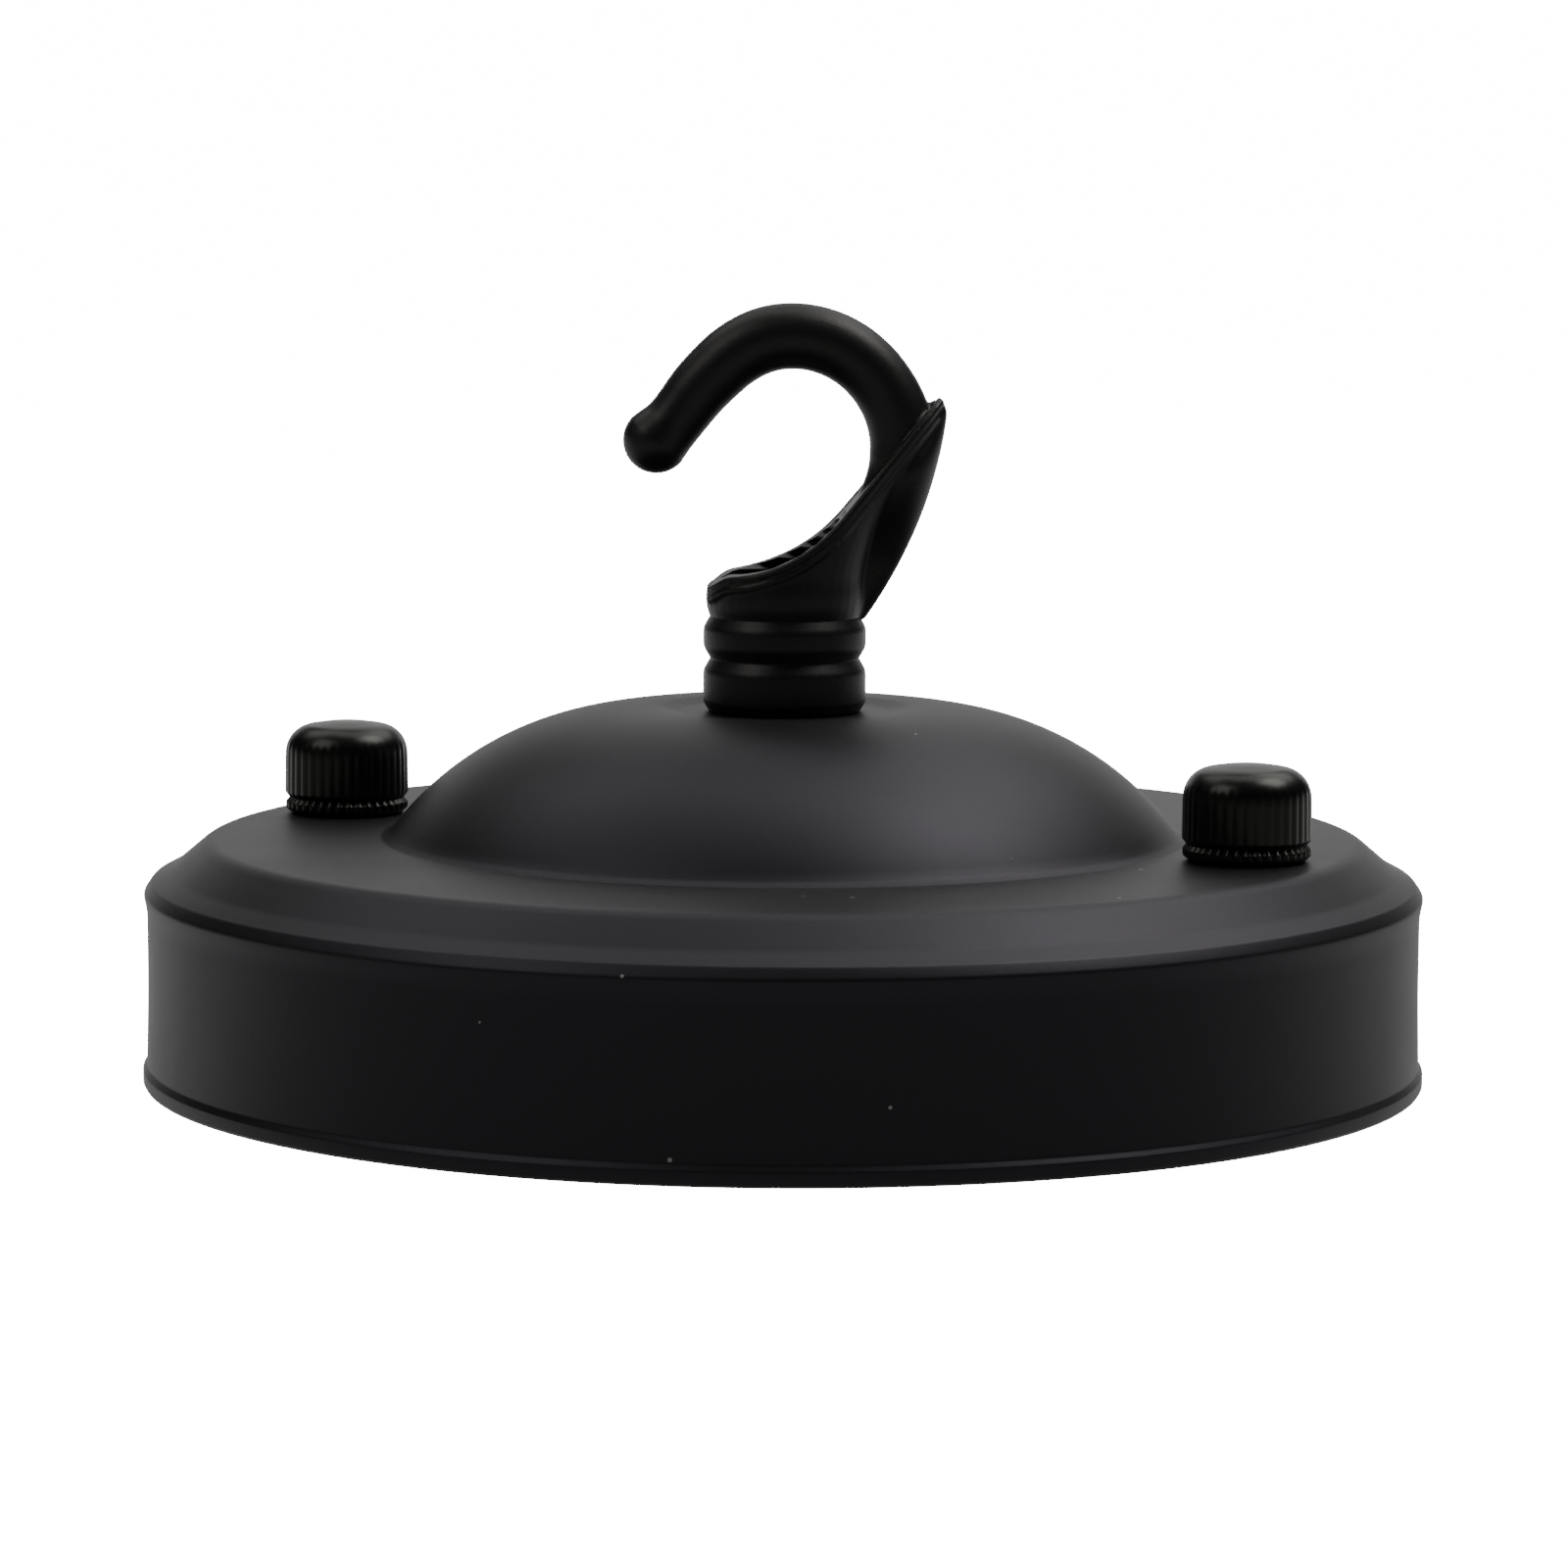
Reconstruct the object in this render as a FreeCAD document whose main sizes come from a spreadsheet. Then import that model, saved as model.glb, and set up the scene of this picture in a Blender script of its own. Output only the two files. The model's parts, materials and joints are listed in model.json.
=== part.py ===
import FreeCAD, Part
import math
import os

import Sketcher
from FreeCAD import Placement, Rotation, Vector

# Ceiling rose with a cable-outlet hook.
#
# A pressed steel cover stands rim down on the ceiling plane z = 0, with its axis on Z
# and the hook pointing away from the ceiling, along +Z. The two knurled cap nuts lie
# on the X axis. Under the cover a steel strap is screwed to the ceiling; two machine
# screws stand up from the strap, pass through the cover and take the cap nuts. The hook
# is screwed onto a hollow threaded nipple that hangs through the middle of the cover.
# All lengths are millimetres, all angles degrees.

DOC = FreeCAD.newDocument("CeilingRose")
SHEET = DOC.addObject("Spreadsheet::Sheet", "Sizes")

DRIVING = {
    # cover: a pressing of one thickness, given by its outer surface
    "rim_radius": 54.0, "rim_height": 1.3, "wall_radius": 53.55, "wall_height": 15.0,
    "plate_thickness": 1.0, "bulge_radius": 53.8, "bulge_height": 16.0,
    "shoulder_radius": 52.9, "shoulder_height": 17.2, "cove_radius": 51.4, "cove_height": 18.0,
    "ring_radius": 49.0, "ring_height": 20.4, "crease_radius": 33.3,
    "dome_centre_radius": 12.0, "dome_centre_height": 4.9, "dome_arc_radius": 26.5,
    "seat_radius": 9.6, "seat_height": 31.0,
    # hook, measured from the seat on top of the cover
    "hook_turn": 21.8, "collar_radius": 6.75, "collar_groove_radius": 6.35,
    "lower_groove_height": 4.5, "upper_groove_height": 8.1, "bore_radius": 5.05,
    "neck_radius": 6.4, "neck_height": 12.6, "neck_offset": 0.6,
    "throat_radius": 5.6, "throat_height": 17.6, "throat_offset": 2.8,
    "tip_radius": 2.0, "tip_height": 25.8, "tip_offset": 10.2,
    "mouth_start": 5.8, "lip_height": 11.1, "mouth_arc_radius": 13.9,
    "eye_offset": 0.43, "eye_height": 22.2, "eye_arc_radius": 9.52, "rod_radius": 2.6,
    "collar_foot_taper": 0.6, "collar_foot_height": 0.9, "groove_half_width": 0.7,
    "point_reach": 10.83, "point_height": 22.8, "point_radius": 2.85,
    "keel_thickness": 2.6, "keel_start": 6.5, "keel_foot_height": 7.9,
    "keel_reach": 13.6, "keel_top": 25.2, "keel_arc_radius": 38.0,
    # nipple and what clamps it
    "nipple_radius": 5.0, "nipple_bore_radius": 3.75, "nipple_length": 17.5,
    "nipple_engagement": 8.6, "plain_washer_radius": 9.0, "plain_washer_thickness": 1.2,
    "washer_clearance": 0.1, "toothed_washer_radius": 7.6, "toothed_washer_thickness": 0.8,
    "nipple_nut_flats": 14.0, "nipple_nut_height": 3.4, "nipple_clearance": 0.3,
    # strap
    "strap_length": 96.0, "strap_width": 20.0, "strap_thickness": 1.5, "strap_rise": 4.0,
    "web_half_length": 33.0, "joggle_run": 3.2, "joggle_shift": 0.7, "cable_hole_radius": 6.5,
    "slot_spacing": 50.8, "slot_half_width": 2.25, "slot_length": 10.0,
    "tab_width": 10.0, "tab_height": 14.0, "tab_offset": 12.5, "earth_height": 8.5,
    # M4 fixing screws, their lock nuts and the cap nuts
    "screw_spacing": 81.8, "screw_radius": 2.0, "screw_top": 26.6, "thread_clearance": 0.05,
    "screw_hole_radius": 2.4, "pan_head_radius": 3.8, "pan_head_height": 2.4,
    "drive_width": 1.0, "drive_depth": 1.0, "screw_end_chamfer": 0.5, "pan_head_flat": 1.3,
    "spring_washer_radius": 3.6, "spring_washer_thickness": 0.9,
    "lock_nut_flats": 7.0, "lock_nut_height": 3.0,
    "cap_radius": 5.25, "cap_height": 8.2, "cap_groove_height": 1.9, "cap_groove_radius": 4.75,
    "cap_bore_depth": 7.3, "cap_bore_cone": 1.0, "cap_round": 1.8, "knurl_radius": 0.25,
    "cap_chamfer": 0.7, "cap_ring_inset": 0.1, "cap_groove_half_width": 0.5,
    # earth terminal
    "earth_screw_length": 8.0, "cup_washer_radius": 4.6, "cup_washer_thickness": 1.0,
    "earth_head_radius": 3.6, "earth_head_height": 2.4,
    "earth_lock_radius": 3.9, "earth_lock_thickness": 0.6,
}
KNURL_TEETH = 36
WASHER_TEETH = 12
HEX_SIDES = 6
POINT_DIRECTION = 233.0
MOUTH_SLOPE = math.radians(51)
MOUTH_CLEARANCE = 20.0
ROD_START = math.radians(-45)
ROD_END = math.radians(141)


class Size:
    """A length or angle that carries its value and the sheet expression behind it."""

    def __init__(self, value, text):
        self.value = float(value)
        self.text = text

    def __add__(self, other):
        other = size_of(other)
        return Size(self.value + other.value, f"({self.text} + {other.text})")

    def __sub__(self, other):
        other = size_of(other)
        return Size(self.value - other.value, f"({self.text} - {other.text})")

    def __mul__(self, factor):
        return Size(self.value * factor, f"({self.text} * {factor})")

    def __truediv__(self, factor):
        return Size(self.value / factor, f"({self.text} / {factor})")

    def __neg__(self):
        return Size(-self.value, f"(-1 * {self.text})")


def size_of(value):
    return value if isinstance(value, Size) else Size(value, f"({value})")


def fill_sheet():
    """Write every driving size into the sheet and give it an alias."""
    sizes = {}
    for row, (alias, value) in enumerate(DRIVING.items(), start=1):
        SHEET.set(f"A{row}", alias.replace("_", " "))
        SHEET.set(f"B{row}", str(value))
        SHEET.setAlias(f"B{row}", alias)
        sizes[alias] = Size(value, f"Sizes.{alias}")
    DOC.recompute()
    return sizes


S = fill_sheet()


def bind(thing, **properties):
    """Tie each named property of an object to a size."""
    for name, size in properties.items():
        thing.setExpression(name, size_of(size).text)


def place(thing, x=0.0, y=0.0, z=0.0):
    """Tie an object's position to sizes, whichever of them are sizes."""
    for axis, size in (("x", x), ("y", y), ("z", z)):
        size = size_of(size)
        thing.setExpression(f".Placement.Base.{axis}", size.text)


def new_body(label):
    return DOC.addObject("PartDesign::Body", label)


def new_sketch(body, name, plane, height=None):
    """Put a sketch on one of the body's own origin planes, or above it."""
    sketch = body.newObject("Sketcher::SketchObject", name)
    plane = next(p for p in body.Origin.OriginFeatures if p.Role == plane)
    sketch.AttachmentSupport = [(plane, "")]
    sketch.MapMode = "FlatFace"
    if height is not None:
        sketch.setExpression(".AttachmentOffset.Base.z", height.text)
    return sketch


def pin(sketch, edge, end, x=None, y=None):
    """Hold one end of an edge at its distance from the sketch's origin."""
    for kind, size in (("DistanceX", x), ("DistanceY", y)):
        if size is None:
            continue
        size = size_of(size)
        index = sketch.addConstraint(Sketcher.Constraint(kind, -1, 1, edge, end, size.value))
        sketch.setExpression(f"Constraints[{index}]", size.text)


def set_radius(sketch, edge, radius):
    radius = size_of(radius)
    index = sketch.addConstraint(Sketcher.Constraint("Radius", edge, radius.value))
    sketch.setExpression(f"Constraints[{index}]", radius.text)


def polygon(sketch, corners):
    """Draw a closed outline through corners that are all held by sizes."""
    points = [Vector(size_of(x).value, size_of(y).value, 0) for x, y in corners]
    count = len(points)
    first = sketch.GeometryCount
    for i in range(count):
        sketch.addGeometry(Part.LineSegment(points[i], points[(i + 1) % count]), False)
    for i, (x, y) in enumerate(corners):
        following = first + (i + 1) % count
        sketch.addConstraint(Sketcher.Constraint("Coincident", first + i, 2, following, 1))
        pin(sketch, first + i, 1, x, y)


def circle(sketch, radius, x=0.0, y=0.0):
    radius, x, y = size_of(radius), size_of(x), size_of(y)
    centre = Vector(x.value, y.value, 0)
    edge = sketch.addGeometry(Part.Circle(centre, Vector(0, 0, 1), radius.value), False)
    pin(sketch, edge, 3, x, y)
    set_radius(sketch, edge, radius)


def revolve(body, name, corners):
    """Turn an outline of (radius, height) corners once around the body's Z axis."""
    sketch = new_sketch(body, name + "_outline", "XZ_Plane")
    polygon(sketch, corners)
    turn = body.newObject("PartDesign::Revolution", name)
    turn.Profile = sketch
    turn.ReferenceAxis = (sketch, ["V_Axis"])
    turn.Angle = 360
    return turn


def pad(body, name, sketch, length, symmetric=False):
    feature = body.newObject("PartDesign::Pad", name)
    feature.Profile = sketch
    feature.Midplane = symmetric
    bind(feature, Length=length)
    return feature


def pocket_through(body, name, sketch):
    """Cut a sketch through the whole body, both ways."""
    feature = body.newObject("PartDesign::Pocket", name)
    feature.Profile = sketch
    feature.Type = "ThroughAll"
    feature.Midplane = True
    return feature


def washer_body(label, outer, inner, thickness):
    """A plain ring that lies on its own XY plane."""
    body = new_body(label)
    sketch = new_sketch(body, label + "_rings", "XY_Plane")
    circle(sketch, outer)
    circle(sketch, inner)
    pad(body, label + "_plate", sketch, thickness)
    return body


def toothed_washer_body(label, outer, inner, thickness):
    """A shake-proof washer: a ring with notches all round its outer edge."""
    body = washer_body(label, outer, inner, thickness)
    sketch = new_sketch(body, label + "_notch", "XY_Plane")
    reach = outer - inner
    polygon(sketch, [(outer - reach * 0.45, reach * -0.12), (outer + reach, reach * -0.3),
                     (outer + reach, reach * 0.3), (outer - reach * 0.45, reach * 0.12)])
    notch = pocket_through(body, label + "_notch_cut", sketch)
    repeat_around(body, label + "_notches", notch, WASHER_TEETH)
    return body


def repeat_around(body, name, feature, count):
    pattern = body.newObject("PartDesign::PolarPattern", name)
    pattern.Originals = [feature]
    pattern.Axis = (next(a for a in body.Origin.OriginFeatures if a.Role == "Z_Axis"), [""])
    pattern.Angle = 360
    pattern.Occurrences = count
    body.Tip = pattern
    return pattern


def hex_nut_body(label, flats, hole, height):
    """A hexagon nut, standing on its own XY plane, with its corners turned off."""
    body = new_body(label)
    sketch = new_sketch(body, label + "_hexagon", "XY_Plane")
    corner = flats / math.sqrt(3)
    turns = [math.radians(360 / HEX_SIDES * i) for i in range(HEX_SIDES)]
    polygon(sketch, [(corner * math.cos(turn), corner * math.sin(turn)) for turn in turns])
    circle(sketch, hole)
    pad(body, label + "_prism", sketch, height)
    for name, low in (("lower", True), ("upper", False)):
        outline = new_sketch(body, f"{label}_{name}_corners", "XZ_Plane")
        end = size_of(0.0) if low else height
        inside = height * 0.18 if low else height * 0.82
        polygon(outline, [(flats / 2, end), (corner + 1.0, end), (corner + 1.0, inside),
                          (corner + 0.02, inside)])
        groove = body.newObject("PartDesign::Groove", f"{label}_{name}_chamfer")
        groove.Profile = outline
        groove.ReferenceAxis = (outline, ["V_Axis"])
        groove.Angle = 360
    return body


def make_cover():
    """The pressed cover: rim, wall, rounded shoulder, flat ring, dome and hook seat."""
    body = new_body("cover_plate")
    thickness = S["plate_thickness"]
    sketch = new_sketch(body, "cover_section", "XZ_Plane")
    dome_x, dome_z = S["dome_centre_radius"], S["dome_centre_height"]
    outside_arc = S["dome_arc_radius"]
    inside_arc = outside_arc - thickness
    hole = S["nipple_radius"] + S["nipple_clearance"]
    crest_z = dome_z + outside_arc

    def arc_height(arc, radius):
        return dome_z.value + math.sqrt(arc.value ** 2 - (radius.value - dome_x.value) ** 2)

    crease_in = S["crease_radius"] - thickness * 0.55
    outer = [(S["rim_radius"], 0.0), (S["rim_radius"], S["rim_height"]),
             (S["wall_radius"], S["rim_height"] + 0.5), (S["wall_radius"], S["wall_height"]),
             (S["bulge_radius"], S["bulge_height"]), (S["bulge_radius"] - 0.25, S["bulge_height"] + 0.8),
             (S["shoulder_radius"], S["shoulder_height"]), (S["cove_radius"], S["cove_height"]),
             (S["ring_radius"] + 0.9, S["ring_height"] - 1.0), (S["ring_radius"], S["ring_height"]),
             (S["crease_radius"] + 0.4, S["ring_height"])]
    inner = [(crease_in, S["ring_height"] - thickness),
             (S["ring_radius"] - 0.4, S["ring_height"] - thickness),
             (S["cove_radius"] - thickness * 0.7, S["cove_height"] - thickness * 0.8),
             (S["shoulder_radius"] - thickness * 0.6, S["shoulder_height"] - thickness),
             (S["wall_radius"] - thickness, S["wall_height"]), (S["wall_radius"] - thickness, 0.0)]
    dome_start = Vector(S["crease_radius"].value, arc_height(outside_arc, S["crease_radius"]), 0)
    crest = Vector(dome_x.value, crest_z.value, 0)
    centre = Vector(dome_x.value, dome_z.value, 0)
    top = [(S["seat_radius"], S["seat_height"]), (hole, S["seat_height"]),
           (hole, S["seat_height"] - thickness), (S["seat_radius"], S["seat_height"] - thickness)]
    under_crest = Vector(dome_x.value, dome_z.value + inside_arc.value, 0)
    under_end = Vector(crease_in.value, arc_height(inside_arc, crease_in), 0)

    def dome_arc(radius, low):
        start = math.atan2(low.y - centre.y, low.x - centre.x)
        whole = Part.Circle(centre, Vector(0, 0, 1), radius.value)
        return Part.ArcOfCircle(whole, start, math.pi / 2)

    vectors = [Vector(size_of(x).value, size_of(y).value, 0) for x, y in outer]
    vectors += [dome_start, crest]
    vectors += [Vector(size_of(x).value, size_of(y).value, 0) for x, y in top]
    vectors += [under_crest, under_end]
    vectors += [Vector(size_of(x).value, size_of(y).value, 0) for x, y in inner]
    count = len(vectors)
    outside_edge = len(outer)
    inside_edge = outside_edge + 2 + len(top)
    for i in range(count):
        if i == outside_edge:
            edge = dome_arc(outside_arc, dome_start)
        elif i == inside_edge:
            edge = dome_arc(inside_arc, under_end)
        else:
            edge = Part.LineSegment(vectors[i], vectors[(i + 1) % count])
        sketch.addGeometry(edge, False)
    # An arc always runs anticlockwise: the outer one starts at the crease and ends at the
    # crest, and the inner one, drawn the other way round the outline, has its ends swapped.
    for i in range(count):
        leaving = 1 if i == inside_edge else 2
        arriving = 2 if (i + 1) % count == inside_edge else 1
        sketch.addConstraint(
            Sketcher.Constraint("Coincident", i, leaving, (i + 1) % count, arriving))
    for i, (x, y) in enumerate(outer):
        pin(sketch, i, 1, x, y)
    for i, (x, y) in enumerate(top):
        pin(sketch, outside_edge + 2 + i, 1, x, y)
    for i, (x, y) in enumerate(inner):
        pin(sketch, inside_edge + 2 + i, 1, x, y)
    for edge, radius, low_end in ((outside_edge, outside_arc, S["crease_radius"]),
                                  (inside_edge, inside_arc, crease_in)):
        pin(sketch, edge, 3, dome_x, dome_z)
        set_radius(sketch, edge, radius)
        pin(sketch, edge, 1, low_end)
        pin(sketch, edge, 2, dome_x)
    turn = body.newObject("PartDesign::Revolution", "cover_pressing")
    turn.Profile = sketch
    turn.ReferenceAxis = (sketch, ["V_Axis"])
    turn.Angle = 360
    holes = new_sketch(body, "screw_hole_circles", "XY_Plane")
    for side in (-1, 1):
        circle(holes, S["screw_hole_radius"], S["screw_spacing"] / 2 * side)
    pocket_through(body, "screw_holes", holes)
    return body


def make_hook():
    """The cast hook: beaded collar, leaf-shaped cable outlet with a keel, rod and rounded point."""
    body = new_body("hook")
    groove, bead = S["collar_groove_radius"], S["collar_radius"]
    low, high = S["lower_groove_height"], S["upper_groove_height"]
    half_groove = S["groove_half_width"]
    revolve(body, "collar", [
        (S["bore_radius"], 0.0), (bead - S["collar_foot_taper"], 0.0),
        (bead, S["collar_foot_height"]), (bead, low - half_groove), (groove, low),
        (bead, low + half_groove), (bead, high - half_groove), (groove, high),
        (groove, S["neck_height"]), (S["bore_radius"], S["neck_height"])])

    sections = []
    for name, height, radius, offset in (
            ("neck", S["upper_groove_height"], S["neck_radius"] - 0.1, 0.0),
            ("waist", S["neck_height"], S["neck_radius"], S["neck_offset"]),
            ("throat", S["throat_height"], S["throat_radius"], S["throat_offset"]),
            ("tip", S["tip_height"], S["tip_radius"], S["tip_offset"])):
        section = new_sketch(body, name + "_section", "XY_Plane", height)
        circle(section, radius, offset)
        sections.append(section)
    leaf = body.newObject("PartDesign::AdditiveLoft", "leaf")
    leaf.Profile = sections[0]
    leaf.Sections = sections[1:]

    keel = new_sketch(body, "keel_outline", "XZ_Plane")
    keel_outline(keel)
    pad(body, "keel", keel, S["keel_thickness"], symmetric=True)

    mouth = new_sketch(body, "mouth_outline", "XZ_Plane")
    mouth_outline(mouth)
    pocket_through(body, "mouth", mouth)

    bore = new_sketch(body, "bore_circle", "XY_Plane")
    circle(bore, S["bore_radius"])
    pocket_through(body, "bore", bore)

    path = new_sketch(body, "rod_path", "XZ_Plane")
    rod_path(path)
    section = body.newObject("Sketcher::SketchObject", "rod_section")
    section.AttachmentSupport = [(path, "Edge1")]
    section.MapMode = "NormalToEdge"
    circle(section, S["rod_radius"])
    rod = body.newObject("PartDesign::AdditivePipe", "rod")
    rod.Profile = section
    rod.Spine = path

    ball = new_sketch(body, "point_outline", "XZ_Plane")
    point_outline(ball)
    point = body.newObject("PartDesign::Revolution", "point")
    point.Profile = ball
    point.ReferenceAxis = (ball, ["Edge1"])
    point.Angle = 360

    body.Placement = Placement(Vector(0, 0, 0), Rotation(Vector(0, 0, 1), DRIVING["hook_turn"]))
    body.setExpression(".Placement.Rotation.Angle", S["hook_turn"].text)
    place(body, z=S["seat_height"])
    return body


def keel_outline(sketch):
    """The keel's side: a foot on the collar, a long curved back edge and a blunt top."""
    foot = (S["keel_start"], S["keel_foot_height"])
    top = (S["keel_reach"], S["keel_top"])
    inside = S["bore_radius"] + 0.6
    start = Vector(foot[0].value, foot[1].value, 0)
    end = Vector(top[0].value, top[1].value, 0)
    half = (end - start) * 0.5
    across = Vector(-half.y, half.x, 0).normalize()
    reach = math.sqrt(S["keel_arc_radius"].value ** 2 - half.Length ** 2)
    centre = start + half + across * reach
    angles = [math.atan2(p.y - centre.y, p.x - centre.x) for p in (start, end)]
    whole = Part.Circle(centre, Vector(0, 0, 1), S["keel_arc_radius"].value)
    crown = (S["keel_reach"] - 0.5, S["keel_top"] + 2.0)
    corners = [(inside, S["keel_foot_height"]), foot, top, crown, (inside, S["keel_top"] + 2.0)]
    points = [Vector(size_of(x).value, size_of(y).value, 0) for x, y in corners]
    for i in range(len(points)):
        if i == 1:
            sketch.addGeometry(Part.ArcOfCircle(whole, angles[0], angles[1]), False)
        else:
            sketch.addGeometry(Part.LineSegment(points[i], points[(i + 1) % len(points)]), False)
    for i, (x, y) in enumerate(corners):
        sketch.addConstraint(
            Sketcher.Constraint("Coincident", i, 2, (i + 1) % len(corners), 1))
        pin(sketch, i, 1, x, y)
    set_radius(sketch, 1, S["keel_arc_radius"])


def mouth_outline(sketch):
    """What is cut away above the slanted, curved mouth of the cable outlet."""
    clear = MOUTH_CLEARANCE
    sine, cosine = math.sin(MOUTH_SLOPE), math.cos(MOUTH_SLOPE)
    arc_radius, lip = S["mouth_arc_radius"], S["lip_height"]
    start_x = -S["mouth_start"]
    end_x = start_x + arc_radius * sine
    end_y = lip + arc_radius * (1 - cosine)
    far_x = end_x + clear * cosine
    far_y = end_y + clear * sine
    centre = Vector(start_x.value, (lip + arc_radius).value, 0)
    whole = Part.Circle(centre, Vector(0, 0, 1), arc_radius.value)
    corners = [(start_x, lip), (end_x, end_y), (far_x, far_y), (-clear, far_y), (-clear, lip)]
    points = [Vector(size_of(x).value, size_of(y).value, 0) for x, y in corners]
    for i in range(len(points)):
        if i == 0:
            edge = Part.ArcOfCircle(whole, -math.pi / 2, -math.pi / 2 + MOUTH_SLOPE)
        else:
            edge = Part.LineSegment(points[i], points[(i + 1) % len(points)])
        sketch.addGeometry(edge, False)
    for i in range(len(points)):
        sketch.addConstraint(
            Sketcher.Constraint("Coincident", i, 2, (i + 1) % len(points), 1))
        if i != 1:
            pin(sketch, i, 1, *corners[i])
    pin(sketch, 1, 1, end_x)
    pin(sketch, 0, 3, start_x, lip + arc_radius)


def rod_path(sketch):
    """The rod's centre line: most of a circle round the eye, then straight to the point."""
    centre = Vector(S["eye_offset"].value, S["eye_height"].value, 0)
    radius = S["eye_arc_radius"]
    whole = Part.Circle(centre, Vector(0, 0, 1), radius.value)
    arc = Part.ArcOfCircle(whole, ROD_START, ROD_END)
    point = Vector(-S["point_reach"].value, S["point_height"].value, 0)
    sketch.addGeometry(arc, False)
    sketch.addGeometry(Part.LineSegment(arc.EndPoint, point), False)
    sketch.addConstraint(Sketcher.Constraint("Tangent", 0, 2, 1, 1))
    pin(sketch, 0, 3, S["eye_offset"], S["eye_height"])
    pin(sketch, 0, 1, S["eye_offset"] + radius * math.cos(ROD_START))
    set_radius(sketch, 0, radius)
    pin(sketch, 1, 2, -S["point_reach"], S["point_height"])


def point_outline(sketch):
    """Half of the rounded point, to be turned round the rod's own direction."""
    radius = S["point_radius"]
    along_x = radius * math.cos(math.radians(POINT_DIRECTION))
    along_y = radius * math.sin(math.radians(POINT_DIRECTION))
    middle_x, middle_y = -S["point_reach"], S["point_height"]
    back = (middle_x - along_x, middle_y - along_y)
    tip = (middle_x + along_x, middle_y + along_y)
    centre = Vector(middle_x.value, middle_y.value, 0)
    whole = Part.Circle(centre, Vector(0, 0, 1), radius.value)
    turn = math.radians(POINT_DIRECTION)
    back_point = Vector(back[0].value, back[1].value, 0)
    tip_point = Vector(tip[0].value, tip[1].value, 0)
    sketch.addGeometry(Part.LineSegment(back_point, tip_point), False)
    sketch.addGeometry(Part.ArcOfCircle(whole, turn, turn + math.pi), False)
    sketch.addConstraint(Sketcher.Constraint("Coincident", 0, 2, 1, 1))
    sketch.addConstraint(Sketcher.Constraint("Coincident", 0, 1, 1, 2))
    pin(sketch, 0, 1, *back)
    pin(sketch, 0, 2, *tip)
    pin(sketch, 1, 3, middle_x)


def make_nipple_stack():
    """The hollow threaded nipple and the washers and nut that clamp it under the dome."""
    thread = S["nipple_radius"] + S["thread_clearance"]
    under_dome = S["seat_height"] - S["plate_thickness"]
    nipple = washer_body(
        "hollow_nipple", S["nipple_radius"], S["nipple_bore_radius"], S["nipple_length"])
    place(nipple, z=S["seat_height"] + S["nipple_engagement"] - S["nipple_length"])
    washer = washer_body(
        "nipple_washer", S["plain_washer_radius"], thread + S["washer_clearance"],
        S["plain_washer_thickness"])
    washer_base = under_dome - S["plain_washer_thickness"]
    place(washer, z=washer_base)
    toothed = toothed_washer_body(
        "nipple_lock_washer", S["toothed_washer_radius"], thread + S["washer_clearance"],
        S["toothed_washer_thickness"])
    toothed_base = washer_base - S["toothed_washer_thickness"]
    place(toothed, z=toothed_base)
    nut = hex_nut_body("nipple_nut", S["nipple_nut_flats"], thread, S["nipple_nut_height"])
    place(nut, z=toothed_base - S["nipple_nut_height"])
    return [nipple, washer, toothed, nut]


def make_strap():
    """The ceiling strap: flat web, raised ends, two slots, cable hole and earth tab."""
    body = new_body("mounting_strap")
    side = new_sketch(body, "strap_side", "XZ_Plane")
    end, web = S["strap_length"] / 2, S["web_half_length"]
    thick, rise = S["strap_thickness"], S["strap_rise"]
    shift, bend = S["joggle_run"], S["joggle_shift"]
    right = [(web, 0.0), (web + shift, rise), (end, rise), (end, rise + thick),
             (web + shift - bend, rise + thick), (web - bend, thick)]
    left = [(-size_of(x), y) for x, y in reversed(right)]
    polygon(side, right + left)
    pad(body, "strap_bar", side, S["strap_width"], symmetric=True)

    tab = new_sketch(body, "tab_outline", "XY_Plane")
    edge, half = S["strap_width"] / 2, S["tab_width"] / 2
    left_side, right_side = -S["tab_offset"] - half, half - S["tab_offset"]
    polygon(tab, [(left_side, edge - thick), (right_side, edge - thick),
                  (right_side, edge), (left_side, edge)])
    pad(body, "earth_tab", tab, S["tab_height"])

    thread = S["screw_radius"] + S["thread_clearance"]
    round_holes = new_sketch(body, "round_holes", "XY_Plane")
    circle(round_holes, S["cable_hole_radius"])
    for sign in (-1, 1):
        circle(round_holes, thread, S["screw_spacing"] / 2 * sign)
    pocket_through(body, "round_holes_cut", round_holes)

    half_slot = S["slot_length"] / 2 - S["slot_half_width"]
    slots = new_sketch(body, "slot_middles", "XY_Plane")
    ends = new_sketch(body, "slot_ends", "XY_Plane")
    for sign in (-1, 1):
        middle = S["slot_spacing"] / 2 * sign
        polygon(slots, [(middle - half_slot, -S["slot_half_width"]),
                        (middle + half_slot, -S["slot_half_width"]),
                        (middle + half_slot, S["slot_half_width"]),
                        (middle - half_slot, S["slot_half_width"])])
        circle(ends, S["slot_half_width"], middle - half_slot)
        circle(ends, S["slot_half_width"], middle + half_slot)
    pocket_through(body, "slot_middles_cut", slots)
    pocket_through(body, "slot_ends_cut", ends)

    earth = new_sketch(body, "earth_hole", "XZ_Plane")
    circle(earth, thread, -S["tab_offset"], S["earth_height"])
    pocket_through(body, "earth_hole_cut", earth)
    return body


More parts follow.
